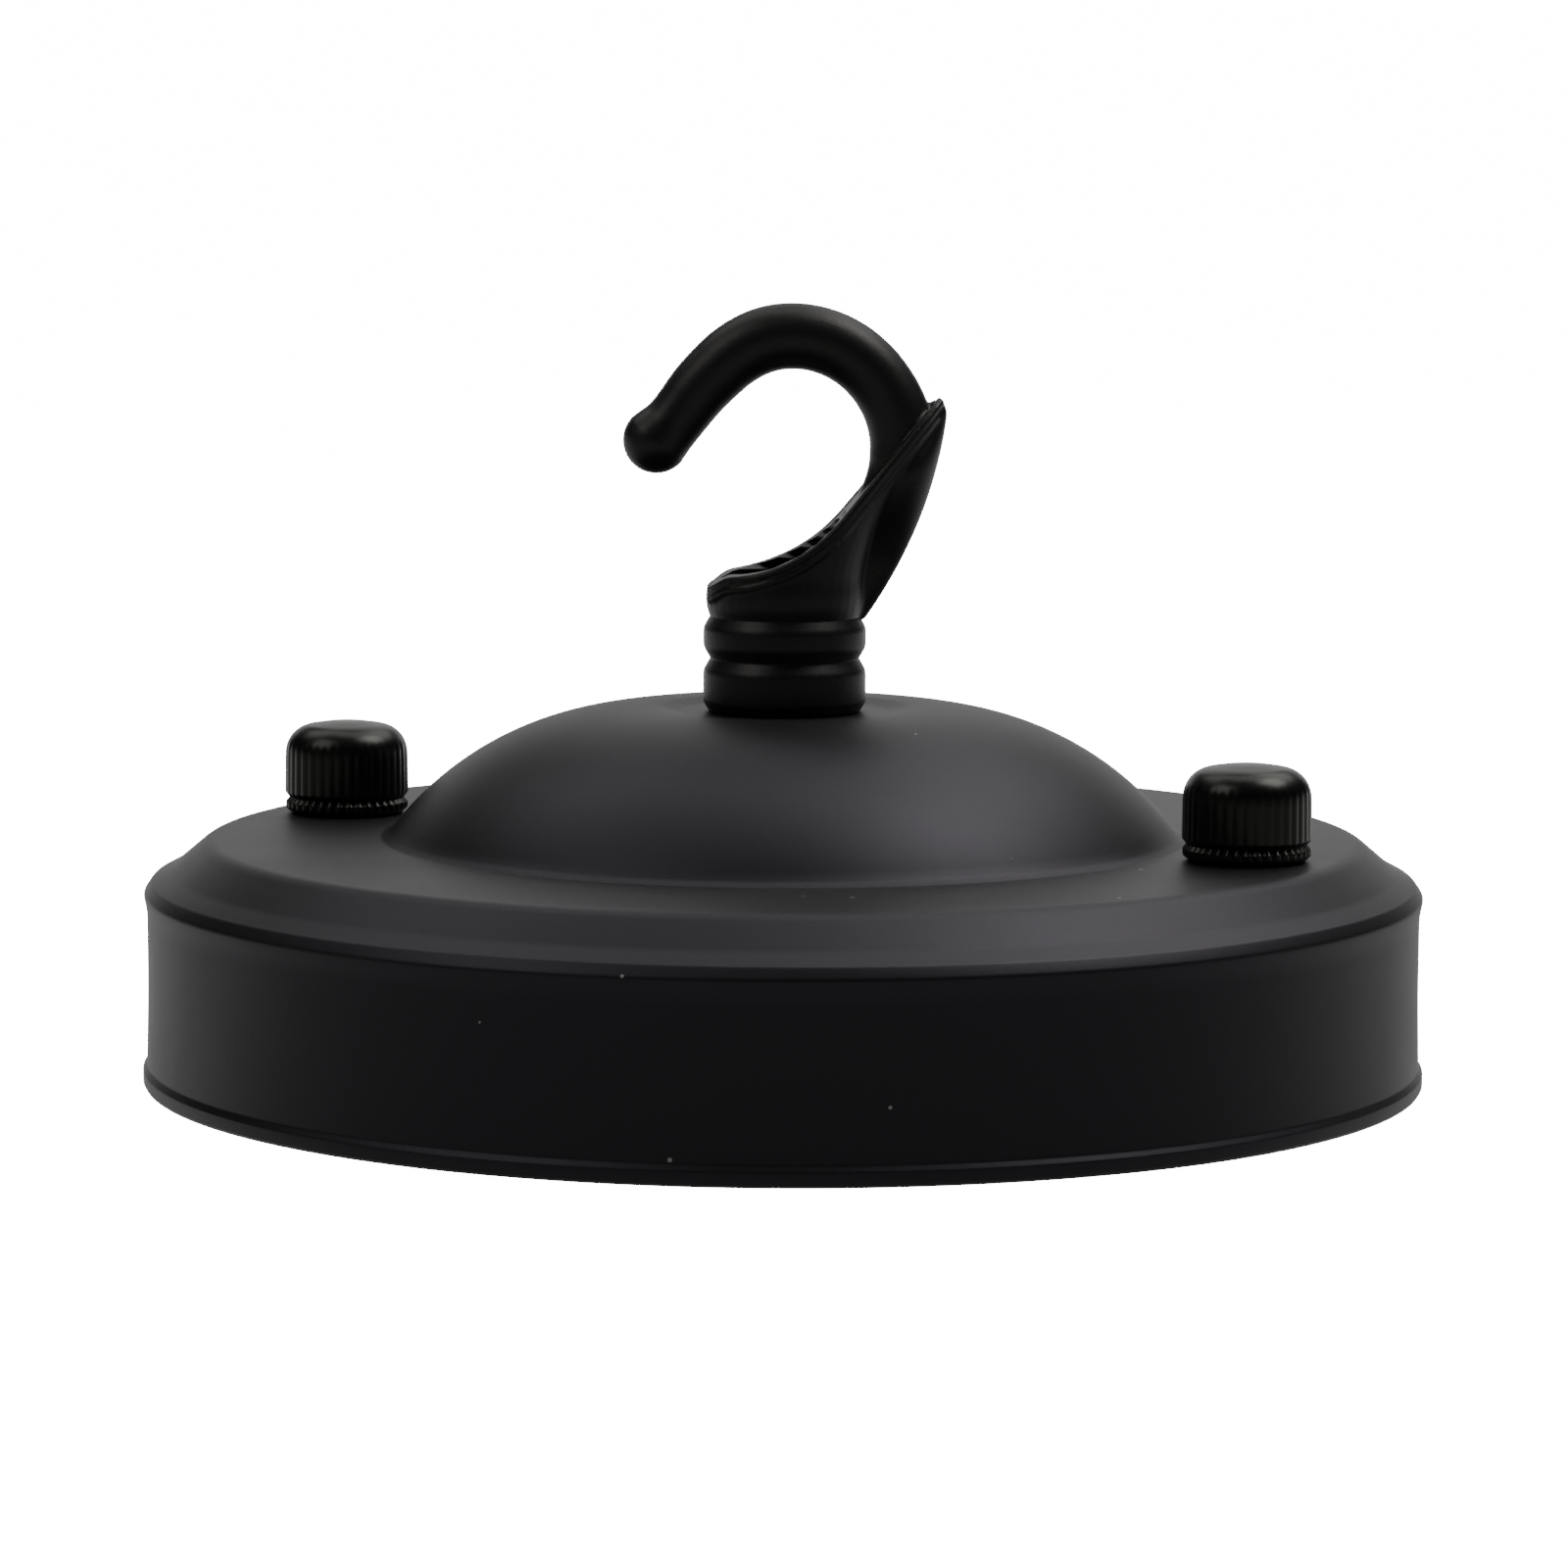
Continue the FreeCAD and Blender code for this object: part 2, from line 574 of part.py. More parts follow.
def screw_body(label, head_radius, head_height, length):
    """A slotted pan-head M4 screw: head below its own XY plane, shank above it."""
    body = new_body(label)
    shank, chamfer = S["screw_radius"], S["screw_end_chamfer"]
    revolve(body, label + "_turning", [
        (0.0, -head_height), (head_radius - S["pan_head_flat"], -head_height),
        (head_radius - 0.4, head_height * -0.72), (head_radius, head_height * -0.3),
        (head_radius, 0.0), (shank, 0.0), (shank, length - chamfer), (shank - chamfer, length),
        (0.0, length)])
    drive = new_sketch(body, label + "_drive", "XY_Plane", -head_height)
    half = S["drive_width"] / 2
    reach = head_radius + 1.0
    polygon(drive, [(-reach, -half), (reach, -half), (reach, half), (-reach, half)])
    cut = body.newObject("PartDesign::Pocket", label + "_drive_cut")
    cut.Profile = drive
    cut.Reversed = True
    bind(cut, Length=S["drive_depth"])
    return body


def cap_nut_body(label):
    """A knurled blind nut: smooth domed top, straight knurl and a ring below a groove."""
    body = new_body(label)
    radius, height, corner = S["cap_radius"], S["cap_height"], S["cap_round"]
    groove_z, groove = S["cap_groove_height"], S["cap_groove_radius"]
    half_groove, chamfer = S["cap_groove_half_width"], S["cap_chamfer"]
    bore, ring = S["screw_radius"] + S["thread_clearance"], radius - S["cap_ring_inset"]
    eighth = [math.radians(angle) for angle in (0, 22.5, 45, 67.5, 90)]
    shoulder = [(radius - corner * (1 - math.cos(a)), height - corner * (1 - math.sin(a)))
                for a in eighth]
    revolve(body, label + "_turning", [
        (bore, 0.0), (ring - chamfer, 0.0), (ring, chamfer), (ring, groove_z - half_groove),
        (groove, groove_z), (radius, groove_z + half_groove)] + shoulder + [
        (0.0, height), (0.0, S["cap_bore_depth"]),
        (bore, S["cap_bore_depth"] - S["cap_bore_cone"])])
    knurl = new_sketch(body, label + "_flute", "XY_Plane", groove_z + 0.1)
    circle(knurl, S["knurl_radius"], radius + 0.08)
    flute = body.newObject("PartDesign::Pocket", label + "_flute_cut")
    flute.Profile = knurl
    flute.Reversed = True
    bind(flute, Length=height - corner * 0.8 - groove_z)
    repeat_around(body, label + "_knurl", flute, KNURL_TEETH)
    return body


def make_screws_and_nuts():
    """The two fixing screws with their spring washers, lock nuts and knurled cap nuts."""
    made = []
    tab_top = S["strap_rise"] + S["strap_thickness"]
    thread = S["screw_radius"] + S["thread_clearance"]
    hole = thread + S["washer_clearance"]
    for side, sign in (("left", -1), ("right", 1)):
        x = S["screw_spacing"] / 2 * sign
        screw = screw_body(f"fixing_screw_{side}", S["pan_head_radius"], S["pan_head_height"],
                           S["screw_top"] - S["strap_rise"])
        place(screw, x, 0.0, S["strap_rise"])
        washer = washer_body(f"spring_washer_{side}", S["spring_washer_radius"], hole,
                             S["spring_washer_thickness"])
        split = new_sketch(washer, f"washer_split_{side}", "XY_Plane")
        polygon(split, [(1.0, 0.1), (5.0, 0.6), (5.0, 1.1), (1.0, 0.6)])
        pocket_through(washer, f"washer_split_cut_{side}", split)
        place(washer, x, 0.0, tab_top)
        nut = hex_nut_body(f"lock_nut_{side}", S["lock_nut_flats"], thread, S["lock_nut_height"])
        place(nut, x, 0.0, tab_top + S["spring_washer_thickness"])
        cap = cap_nut_body(f"cap_nut_{side}")
        place(cap, x, 0.0, S["ring_height"])
        made += [screw, washer, nut, cap]
    return made


def make_earth_terminal():
    """The earth screw in the strap's tab, with its toothed washer and cup washer."""
    thread = S["screw_radius"] + S["thread_clearance"]
    hole, outer_face = thread + S["washer_clearance"], S["strap_width"] / 2
    toothed = toothed_washer_body("earth_lock_washer", S["earth_lock_radius"], hole,
                                  S["earth_lock_thickness"])
    cup = washer_body("earth_cup_washer", S["cup_washer_radius"], hole,
                      S["cup_washer_thickness"])
    screw = screw_body("earth_screw", S["earth_head_radius"], S["earth_head_height"],
                       S["earth_screw_length"])
    stack = S["earth_lock_thickness"] + S["cup_washer_thickness"]
    # Turned so that each piece's own +Z points along -Y, into the tab.
    for piece, y in ((toothed, outer_face + S["earth_lock_thickness"]),
                     (cup, outer_face + stack), (screw, outer_face + stack)):
        piece.Placement = Placement(Vector(0, 0, 0), Rotation(Vector(1, 0, 0), 90))
        place(piece, -S["tab_offset"], y, S["earth_height"])
    return [screw, toothed, cup]


def check_objects():
    """Stop if any object of the document failed to rebuild."""
    DOC.recompute()
    for thing in DOC.Objects:
        if {"Invalid", "Error"} & set(thing.State):
            raise RuntimeError(f"{thing.Label} failed: {thing.State}")


def write_steps(pieces):
    os.makedirs("parts", exist_ok=True)
    for piece in pieces:
        shape = piece.Shape
        if shape.isNull() or not shape.isValid() or len(shape.Solids) != 1:
            raise RuntimeError(f"{piece.Label} is not one valid solid")
        shape.exportStep(os.path.join("parts", piece.Label + ".step"))
        box = shape.BoundBox
        print(f"{piece.Label:20s} volume {shape.Volume:9.2f}  z {box.ZMin:6.2f} to {box.ZMax:6.2f}")


pieces = [make_cover(), make_hook()]
pieces += make_nipple_stack()
pieces += [make_strap()]
pieces += make_screws_and_nuts()
pieces += make_earth_terminal()
check_objects()
write_steps(pieces)
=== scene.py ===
import json
import math

import bmesh
import bpy
from bpy.props import FloatProperty, FloatVectorProperty, IntProperty, PointerProperty
from mathutils import Matrix, Vector


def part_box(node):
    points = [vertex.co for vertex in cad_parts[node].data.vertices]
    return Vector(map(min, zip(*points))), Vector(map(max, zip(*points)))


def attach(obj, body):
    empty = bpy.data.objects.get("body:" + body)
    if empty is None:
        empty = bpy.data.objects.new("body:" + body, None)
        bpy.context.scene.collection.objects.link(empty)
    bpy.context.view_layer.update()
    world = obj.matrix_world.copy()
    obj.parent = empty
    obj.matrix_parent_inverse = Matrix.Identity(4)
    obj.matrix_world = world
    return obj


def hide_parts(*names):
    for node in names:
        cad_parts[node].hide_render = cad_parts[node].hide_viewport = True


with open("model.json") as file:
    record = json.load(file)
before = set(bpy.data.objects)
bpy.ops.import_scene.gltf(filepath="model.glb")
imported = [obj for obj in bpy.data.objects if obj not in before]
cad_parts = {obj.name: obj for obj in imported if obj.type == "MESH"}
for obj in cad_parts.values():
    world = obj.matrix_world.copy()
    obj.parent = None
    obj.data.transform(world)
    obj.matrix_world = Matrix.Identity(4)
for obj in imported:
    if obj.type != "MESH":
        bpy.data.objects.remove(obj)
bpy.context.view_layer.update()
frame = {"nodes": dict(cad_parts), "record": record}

bl_info = {
    "name": "Ceiling rose looks",
    "version": (1, 0, 0),
    "blender": (4, 5, 0),
    "location": "3D View > Sidebar > Rose",
    "description": "Dresses a packed ceiling rose with its pressed cover, cast hook and knurled nuts",
    "category": "Object",
}

COVER_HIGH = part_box("cover_plate")[1]
HOOK_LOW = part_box("hook")[0]
CAP_LOW, CAP_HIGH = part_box("cap_nut_right")
SCREW_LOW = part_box("fixing_screw_right")[0]
CAP_X = (CAP_LOW.x + CAP_HIGH.x) / 2
MM = 0.001
TAU = 2 * math.pi
WELD = 1e-4
M4_PITCH = 0.7 * MM
M4_HEAD_HEIGHT = 2.6 * MM
NIPPLE_PITCH = 1.0 * MM
MIX_COLOUR_INPUTS = (6, 7)  # where a Mix node set to colours takes its two colours
MIX_COLOUR_OUTPUT = 2


def length(name, description, default):
    """A size in metres that a user can change."""
    return FloatProperty(name=name, description=description, default=default, min=0.0,
                         unit="LENGTH", subtype="DISTANCE", precision=5)


def colour(name, description, default):
    """A colour that a user can change."""
    return FloatVectorProperty(name=name, description=description, default=default, size=3,
                               min=0.0, max=1.0, subtype="COLOR")


def share(name, description, default):
    """A value from 0 to 1 that a user can change."""
    return FloatProperty(name=name, description=description, default=default, min=0.0, max=1.0,
                         subtype="FACTOR")


class CoverSizes(bpy.types.PropertyGroup):
    """Sizes of the cover"""
    rim_radius: length("Rim radius", "Outer radius of the rolled rim", COVER_HIGH.x)
    wall_radius: length("Wall radius", "Outer radius of the upright wall", 53.6 * MM)
    shoulder_height: length("Shoulder height", "Height where the wall turns in", 16.4 * MM)
    ring_height: length("Ring height", "Height of the flat ring the nuts stand on", CAP_LOW.z)
    ring_radius: length("Ring radius", "Outer radius of the flat ring", 48.7 * MM)
    dome_centre_radius: length("Dome centre radius", "Radius of the crest of the dome", 12.0 * MM)
    dome_arc: length("Dome arc", "Radius of the dome's rounded side", 26.5 * MM)
    crest_height: length("Crest height", "Height of the dome's crest", COVER_HIGH.z)
    seat_height: length("Seat height", "Height of the seat under the hook", HOOK_LOW.z)
    hole_radius: length("Hole radius", "Radius of the hole for the nipple", 5.3 * MM)
    screw_hole_radius: length("Screw hole radius", "Radius of each screw hole", 2.4 * MM)
    thickness: length("Thickness", "Thickness of the pressed sheet", 0.97 * MM)


class HookSizes(bpy.types.PropertyGroup):
    """Sizes of the hook, heights counted from its foot"""
    turn: FloatProperty(name="Turn", description="How far the hook is turned about its nipple",
                        default=math.radians(21.8), unit="ROTATION", subtype="ANGLE")
    collar_radius: length("Collar radius", "Outer radius of the beads", 6.85 * MM)
    groove_radius: length("Groove radius", "Radius of the grooves between beads", 6.3 * MM)
    lower_groove: length("Lower groove", "Height of the lower groove", 4.5 * MM)
    upper_groove: length("Upper groove", "Height of the upper groove", 8.1 * MM)
    bore_radius: length("Bore radius", "Outer radius of the inner thread", 5.02 * MM)
    thread_depth: length("Thread depth", "Depth of the inner thread", 0.6 * MM)
    thread_pitch: length("Thread pitch", "Rise of the inner thread in one turn", 1.0 * MM)
    leaf_top: length("Leaf top", "Height of the top of the leaf", 26.25 * MM)
    lip_height: length("Lip height", "Height of the mouth's low front lip", 11.6 * MM)
    mouth_arc: length("Mouth arc", "Radius of the mouth's curve seen from the side", 13.9 * MM)
    eye_offset: length("Eye offset", "Distance of the eye from the collar's axis", 0.43 * MM)
    eye_height: length("Eye height", "Height of the middle of the eye", 22.2 * MM)
    point_reach: length("Point reach", "Distance of the point from the collar's axis", 10.83 * MM)
    point_height: length("Point height", "Height of the middle of the point", 22.8 * MM)
    keel_half: length("Keel half thickness", "Half the thickness of the keel", 1.45 * MM)
    grain: length("Casting grain", "Size of the smallest detail of the casting", 0.16 * MM)


class CapNutSizes(bpy.types.PropertyGroup):
    """Sizes of one cap nut, heights counted from its foot"""
    radius: length("Radius", "Radius over the knurl", 5.33 * MM)
    height: length("Height", "Height of the nut", 8.0 * MM)
    corner: length("Corner", "Radius of the rounded top edge", 2.5 * MM)
    groove_height: length("Groove height", "Height of the groove above the foot", 1.4 * MM)
    groove_depth: length("Groove depth", "Depth of the groove", 0.35 * MM)
    flute_depth: length("Flute depth", "Depth of one flute of the knurl", 0.1 * MM)
    teeth: IntProperty(name="Teeth", description="Number of teeth of the knurl", default=38,
                       min=12, max=80)
    bore_radius: length("Bore radius", "Radius of the blind threaded bore", 2.05 * MM)
    bore_depth: length("Bore depth", "Depth of the blind bore", 6.9 * MM)


class FinishLooks(bpy.types.PropertyGroup):
    """Colours and gloss of the finishes"""
    cover_black: colour("Cover black", "Colour of the matt paint on the cover",
                        (0.0065, 0.0062, 0.0066))
    hook_black: colour("Hook black", "Colour of the paint on the casting", (0.006, 0.006, 0.006))
    nut_black: colour("Nut black", "Colour of the lacquer on the nuts", (0.004, 0.004, 0.004))
    cover_tint: colour("Cover tint", "Tint of the cover's sheen", (0.94, 0.88, 1.0))
    hook_tint: colour("Hook tint", "Tint of the casting's sheen", (1.0, 0.96, 0.93))
    nut_tint: colour("Nut tint", "Tint of the nuts' sheen", (0.98, 1.0, 0.9))
    dust: colour("Dust", "Colour of the dust specks", (0.35, 0.34, 0.33))
    zinc: colour("Zinc", "Colour of the plated steel", (0.56, 0.57, 0.58))
    brass: colour("Brass", "Colour of the turned brass", (0.68, 0.47, 0.19))
    cover_roughness: share("Cover roughness", "Roughness of the matt paint", 0.47)
    hook_roughness: share("Hook roughness", "Roughness of the casting's paint", 0.42)
    nut_roughness: share("Nut roughness", "Roughness of the nuts' lacquer", 0.32)


class StageSizes(bpy.types.PropertyGroup):
    """Where the lens stands, and how bright the room is"""
    view_turn: FloatProperty(name="View turn", description="How far the view goes round the rose",
                             default=math.radians(21.8), unit="ROTATION", subtype="ANGLE")
    view_pitch: FloatProperty(name="View pitch", description="How far the view looks down",
                              default=math.radians(6.66), unit="ROTATION", subtype="ANGLE")
    view_roll: FloatProperty(name="View roll", description="How far the view leans over",
                             default=math.radians(0.25), unit="ROTATION", subtype="ANGLE")
    distance: length("Distance", "Level distance from the rose's axis to the lens", 520.0 * MM)
    lens_height: length("Lens height", "Height of the lens above the floor", 85.5 * MM)
    focal_length: FloatProperty(name="Focal length", description="Focal length of the lens",
                                default=142.4, min=10.0, unit="CAMERA")
    floor_size: length("Floor size", "Width of the floor", 6.0)
    light_distance: length("Light distance", "Distance of the soft boxes from the rose", 0.8)
    brightness: FloatProperty(name="Brightness", description="How bright the lens sees the room",
                              default=16.0, min=0.0)
    ambient: FloatProperty(name="Ambient", description="How bright the room is to the rose",
                           default=0.015, min=0.0)
    floor_light: FloatProperty(name="Floor light", description="How bright the floor is to the rose",
                               default=0.3, min=0.0)


# Mesh helpers ---------------------------------------------------------------------------


def bench(size):
    """A size in bench millimetres, in which pieces are modelled before they are scaled down."""
    return size * 1000


def rounded_path(corners, step=math.radians(12)):
    """Points along a polyline whose corners, each (x, z, radius), are rounded by arcs."""
    points = [Vector(corners[0][:2])]
    for before, corner, after in zip(corners, corners[1:], corners[2:]):
        here = Vector(corner[:2])
        back = (Vector(before[:2]) - here).normalized()
        on = (Vector(after[:2]) - here).normalized()
        turn = math.pi - back.angle(on)
        if corner[2] <= 0.0 or turn < 1e-3:
            points.append(here)
            continue
        cut = corner[2] * math.tan(turn / 2)
        middle = here + (back + on).normalized() * (corner[2] / math.cos(turn / 2))
        start, end = here + back * cut - middle, here + on * cut - middle
        steps = max(2, math.ceil(turn / step))
        sweep = start.angle_signed(end)
        for i in range(steps + 1):
            points.append(middle + Matrix.Rotation(-sweep * i / steps, 2) @ start)
    points.append(Vector(corners[-1][:2]))
    return points


def even_steps(first, last, steps):
    """Evenly spaced values from the first to the last."""
    return [first + (last - first) * i / steps for i in range(steps + 1)]


def arc_points(centre, radius, start, end, steps):
    """Points along an arc between two angles."""
    return [Vector((centre[0] + radius * math.cos(a), centre[1] + radius * math.sin(a)))
            for a in even_steps(start, end, steps)]


def spin_path(bm, points, steps, rise=0.0, turns=1.0):
    """Turn (radius, height) points round the Z axis; with a rise, climb as a thread does."""
    verts = [bm.verts.new((p[0], 0.0, p[1])) for p in points]
    edges = [bm.edges.new(pair) for pair in zip(verts, verts[1:])]
    whole = rise == 0.0
    bmesh.ops.spin(bm, geom=verts + edges, cent=(0, 0, 0), axis=(0, 0, 1),
                   dvec=(0, 0, rise / steps), angle=TAU * turns,
                   steps=round(steps * turns), use_merge=whole, use_duplicate=False)
    bmesh.ops.remove_doubles(bm, verts=bm.verts, dist=WELD)


def close_holes(bm):
    """Fill every open loop with a face."""
    open_edges = [edge for edge in bm.edges if edge.is_boundary]
    if open_edges:
        bmesh.ops.holes_fill(bm, edges=open_edges, sides=0)
    bmesh.ops.recalc_face_normals(bm, faces=bm.faces)


def new_piece(name, bm):
    """Make an object at the origin from a bmesh, and free the bmesh."""
    mesh = bpy.data.meshes.new(name)
    bm.to_mesh(mesh)
    bm.free()
    mesh.shade_smooth()
    piece = bpy.data.objects.new(name, mesh)
    bpy.context.scene.collection.objects.link(piece)
    return piece


def settle(piece):
    """Put what the modifiers make into the mesh itself, and drop the modifiers."""
    graph = bpy.context.evaluated_depsgraph_get()
    mesh = bpy.data.meshes.new_from_object(piece.evaluated_get(graph))
    piece.modifiers.clear()
    piece.data = mesh
    return piece


def cut_away(piece, *cutters):
    """Subtract closed pieces from another one, and remove them."""
    for cutter in cutters:
        cut = piece.modifiers.new("cut", "BOOLEAN")
        cut.operation = "DIFFERENCE"
        cut.solver = "EXACT"
        cut.object = cutter
    settle(piece)
    for cutter in cutters:
        bpy.data.objects.remove(cutter)
    return piece


def remesh(piece, grain, rounds):
    """Fuse overlapping closed shells into one skin and round its inner corners a little."""
    skin = piece.modifiers.new("skin", "REMESH")
    skin.mode = "VOXEL"
    skin.voxel_size = grain
    skin.use_smooth_shade = True
    ease = piece.modifiers.new("ease", "SMOOTH")
    ease.factor = 0.5
    ease.iterations = rounds
    return settle(piece)


def move_mesh(piece, matrix):
    """Move the mesh itself, so that the object stays at the origin."""
    piece.data.transform(matrix)
    piece.data.update()


def sharpen(piece, angle):
    """Shade the piece smooth, except across edges sharper than the angle."""
    bm = bmesh.new()
    bm.from_mesh(piece.data)
    for face in bm.faces:
        face.smooth = True
    for edge in bm.edges:
        edge.smooth = len(edge.link_faces) < 2 or edge.calc_face_angle(0.0) < angle
    bm.to_mesh(piece.data)
    bm.free()


def finish_piece(piece, body, slot, material, *nodes):
    """Give a finished piece its material and its body, and hide the nodes it stands for. The slot is
    not used.
    """
    piece.data.materials.clear()
    piece.data.materials.append(material)
    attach(piece, body)
    if nodes:
        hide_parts(*nodes)


def ring(bm, centre, across, up, half_across, half_up, segments):
    """An elliptical loop of edges round a centre, on the plane of two directions."""
    normal = across.cross(up)
    place = Matrix.Translation(centre) @ Matrix(
        (across * half_across, up * half_up, normal)).transposed().to_4x4()
    made = bmesh.ops.create_circle(bm, cap_ends=False, segments=segments, radius=1.0,
                                   matrix=place)
    verts = set(made["verts"])
    return [edge for edge in bm.edges if set(edge.verts) <= verts]


def loft(bm, rings, segments=40):
    """Join rings, each (centre, across, up, half_across, half_up), into a closed skin."""
    loops = [ring(bm, *spec, segments) for spec in rings]
    for first, second in zip(loops, loops[1:]):
        bmesh.ops.bridge_loops(bm, edges=first + second)
    for loop in (loops[0], loops[-1]):
        bmesh.ops.contextual_create(bm, geom=loop)
    bmesh.ops.recalc_face_normals(bm, faces=bm.faces)


def smooth_share(value):
    """Ease from 0 to 1 with no kink at either end."""
    value = min(1.0, max(0.0, value))
    return value * value * (3 - 2 * value)


def eased(height, change):
    """How much of a change, given as (start, run, amount), has come in at a height."""
    start, run, amount = change
    return amount * smooth_share((height - start) / run)


# Materials ------------------------------------------------------------------------------


def socketed_group(name, inputs, outputs):
    """A shader node group with named float inputs and outputs."""
    group = bpy.data.node_groups.new(name, "ShaderNodeTree")
    for label, default in inputs.items():
        socket = group.interface.new_socket(label, in_out="INPUT", socket_type="NodeSocketFloat")
        socket.default_value = default
    for label in outputs:
        group.interface.new_socket(label, in_out="OUTPUT", socket_type="NodeSocketFloat")
    return group, group.nodes.new("NodeGroupInput"), group.nodes.new("NodeGroupOutput")


def math_node(tree, operation, first, second):
    """A math node on two values, each a number or another node's output."""
    node = tree.nodes.new("ShaderNodeMath")
    node.operation = operation
    for socket, value in zip(node.inputs, (first, second)):
        if isinstance(value, (int, float)):
            socket.default_value = value
        else:
            tree.links.new(value, socket)
    return node.outputs["Value"]


def grain_group():
    """Two sizes of noise: a fine grain for bump and a slow mottle for tone."""
    group, given, result = socketed_group(
        "paint_grain", {"Grain scale": 2600.0, "Mottle scale": 60.0}, ("Grain", "Mottle"))
    place = group.nodes.new("ShaderNodeTexCoord")
    for label, output, detail in (("Grain scale", "Grain", 3.0), ("Mottle scale", "Mottle", 4.0)):
        noise = group.nodes.new("ShaderNodeTexNoise")
        noise.inputs["Detail"].default_value = detail
        group.links.new(place.outputs["Object"], noise.inputs["Vector"])
        group.links.new(given.outputs[label], noise.inputs["Scale"])
        group.links.new(noise.outputs["Fac"], result.inputs[output])
    return group


def dust_group():
    """Small specks, scattered thinly: one in a few cells of a coarse grid holds one."""
    group, given, result = socketed_group(
        "dust_specks", {"Scale": 260.0, "Size": 0.05, "Share": 0.1}, ("Mask",))
    place = group.nodes.new("ShaderNodeTexCoord")
    cells = group.nodes.new("ShaderNodeTexVoronoi")
    group.links.new(place.outputs["Object"], cells.inputs["Vector"])
    group.links.new(given.outputs["Scale"], cells.inputs["Scale"])
    near = math_node(group, "LESS_THAN", cells.outputs["Distance"], given.outputs["Size"])
    split = group.nodes.new("ShaderNodeSeparateColor")
    group.links.new(cells.outputs["Color"], split.inputs["Color"])
    chosen = math_node(group, "LESS_THAN", split.outputs["Red"], given.outputs["Share"])
    group.links.new(math_node(group, "MULTIPLY", near, chosen), result.inputs["Mask"])
    return group


def thread_group():
    """Ridges along the Z axis above a start height, as a fine screw thread has."""
    group, given, result = socketed_group(
        "screw_thread", {"Pitch": M4_PITCH, "Start": 0.0}, ("Height",))
    place = group.nodes.new("ShaderNodeTexCoord")
    axes = group.nodes.new("ShaderNodeSeparateXYZ")
    group.links.new(place.outputs["Object"], axes.inputs["Vector"])
    turns = math_node(group, "DIVIDE", axes.outputs["Z"], given.outputs["Pitch"])
    ridges = math_node(group, "PINGPONG", turns, 0.5)
    cut = math_node(group, "GREATER_THAN", axes.outputs["Z"], given.outputs["Start"])
    group.links.new(math_node(group, "MULTIPLY", ridges, cut), result.inputs["Height"])
    return group


def shared_group(name, build):
    """The node group of this name, built the first time it is asked for."""
    return bpy.data.node_groups.get(name) or build()


def new_material(name):
    """A new material, with its node tree and its Principled shader."""
    material = bpy.data.materials.new(name)
    material.use_nodes = True
    shader = material.node_tree.nodes["Principled BSDF"]
    return material, material.node_tree, shader


def place_group(tree, group, **values):
    """Put a node group into a tree with its own values."""
    node = tree.nodes.new("ShaderNodeGroup")
    node.node_tree = group
    for label, value in values.items():
        node.inputs[label.replace("_", " ")].default_value = value
    return node


def remap(tree, value, low, high):
    """Spread a 0 to 1 value over a narrower band."""
    node = tree.nodes.new("ShaderNodeMapRange")
    node.inputs["To Min"].default_value = low
    node.inputs["To Max"].default_value = high
    tree.links.new(value, node.inputs["Value"])
    return node.outputs["Result"]


def bump(tree, shader, height, distance):
    """Raise the shader's surface by a height map."""
    node = tree.nodes.new("ShaderNodeBump")
    node.inputs["Distance"].default_value = distance
    tree.links.new(height, node.inputs["Height"])
    tree.links.new(node.outputs["Normal"], shader.inputs["Normal"])


def mix_colours(tree, share_of, first, second):
    """Mix two colours, each a plain colour or another node's output."""
    node = tree.nodes.new("ShaderNodeMix")
    node.data_type = "RGBA"
    tree.links.new(share_of, node.inputs["Factor"])
    for index, value in zip(MIX_COLOUR_INPUTS, (first, second)):
        socket = node.inputs[index]
        if hasattr(value, "is_linked"):
            tree.links.new(value, socket)
        else:
            socket.default_value = (*value, 1.0)
    return node.outputs[MIX_COLOUR_OUTPUT]


def black_paint(name, base, tint, roughness, grain_scale, grain_depth, dust_share, spread):
    """Black paint with a fine grain, a slow change of tone and gloss, and thin dust."""
    looks = bpy.context.scene.rose_finish
    material, tree, shader = new_material(name)
    grain = place_group(tree, shared_group("paint_grain", grain_group),
                        Grain_scale=grain_scale, Mottle_scale=55.0)
    dust = place_group(tree, shared_group("dust_specks", dust_group), Share=dust_share)
    lighter = [min(1.0, channel * 1.5) for channel in base]
    toned = mix_colours(tree, grain.outputs["Mottle"], base, lighter)
    dusted = mix_colours(tree, dust.outputs["Mask"], toned, looks.dust)
    tree.links.new(dusted, shader.inputs["Base Color"])
    shader.inputs["Specular Tint"].default_value = (*tint, 1.0)
    gloss = remap(tree, grain.outputs["Mottle"], roughness - spread, roughness + spread)
    tree.links.new(gloss, shader.inputs["Roughness"])
    bump(tree, shader, grain.outputs["Grain"], grain_depth)
    return material


def metal(name, base, roughness, grain_scale, pitch=0.0, start=0.0):
    """Bare or plated metal with a fine grain, or a thread, and a soft change of gloss."""
    material, tree, shader = new_material(name)
    grain = place_group(tree, shared_group("paint_grain", grain_group),
                        Grain_scale=grain_scale, Mottle_scale=140.0)
    darker = [channel * 0.78 for channel in base]
    tree.links.new(mix_colours(tree, grain.outputs["Mottle"], darker, base),
                   shader.inputs["Base Color"])
    shader.inputs["Metallic"].default_value = 1.0
    gloss = remap(tree, grain.outputs["Mottle"], roughness - 0.08, roughness + 0.1)
    tree.links.new(gloss, shader.inputs["Roughness"])
    if pitch:
        thread = place_group(tree, shared_group("screw_thread", thread_group),
                             Pitch=pitch, Start=start)
        bump(tree, shader, thread.outputs["Height"], pitch)
    else:
        bump(tree, shader, grain.outputs["Grain"], 0.004 * MM)
    return material


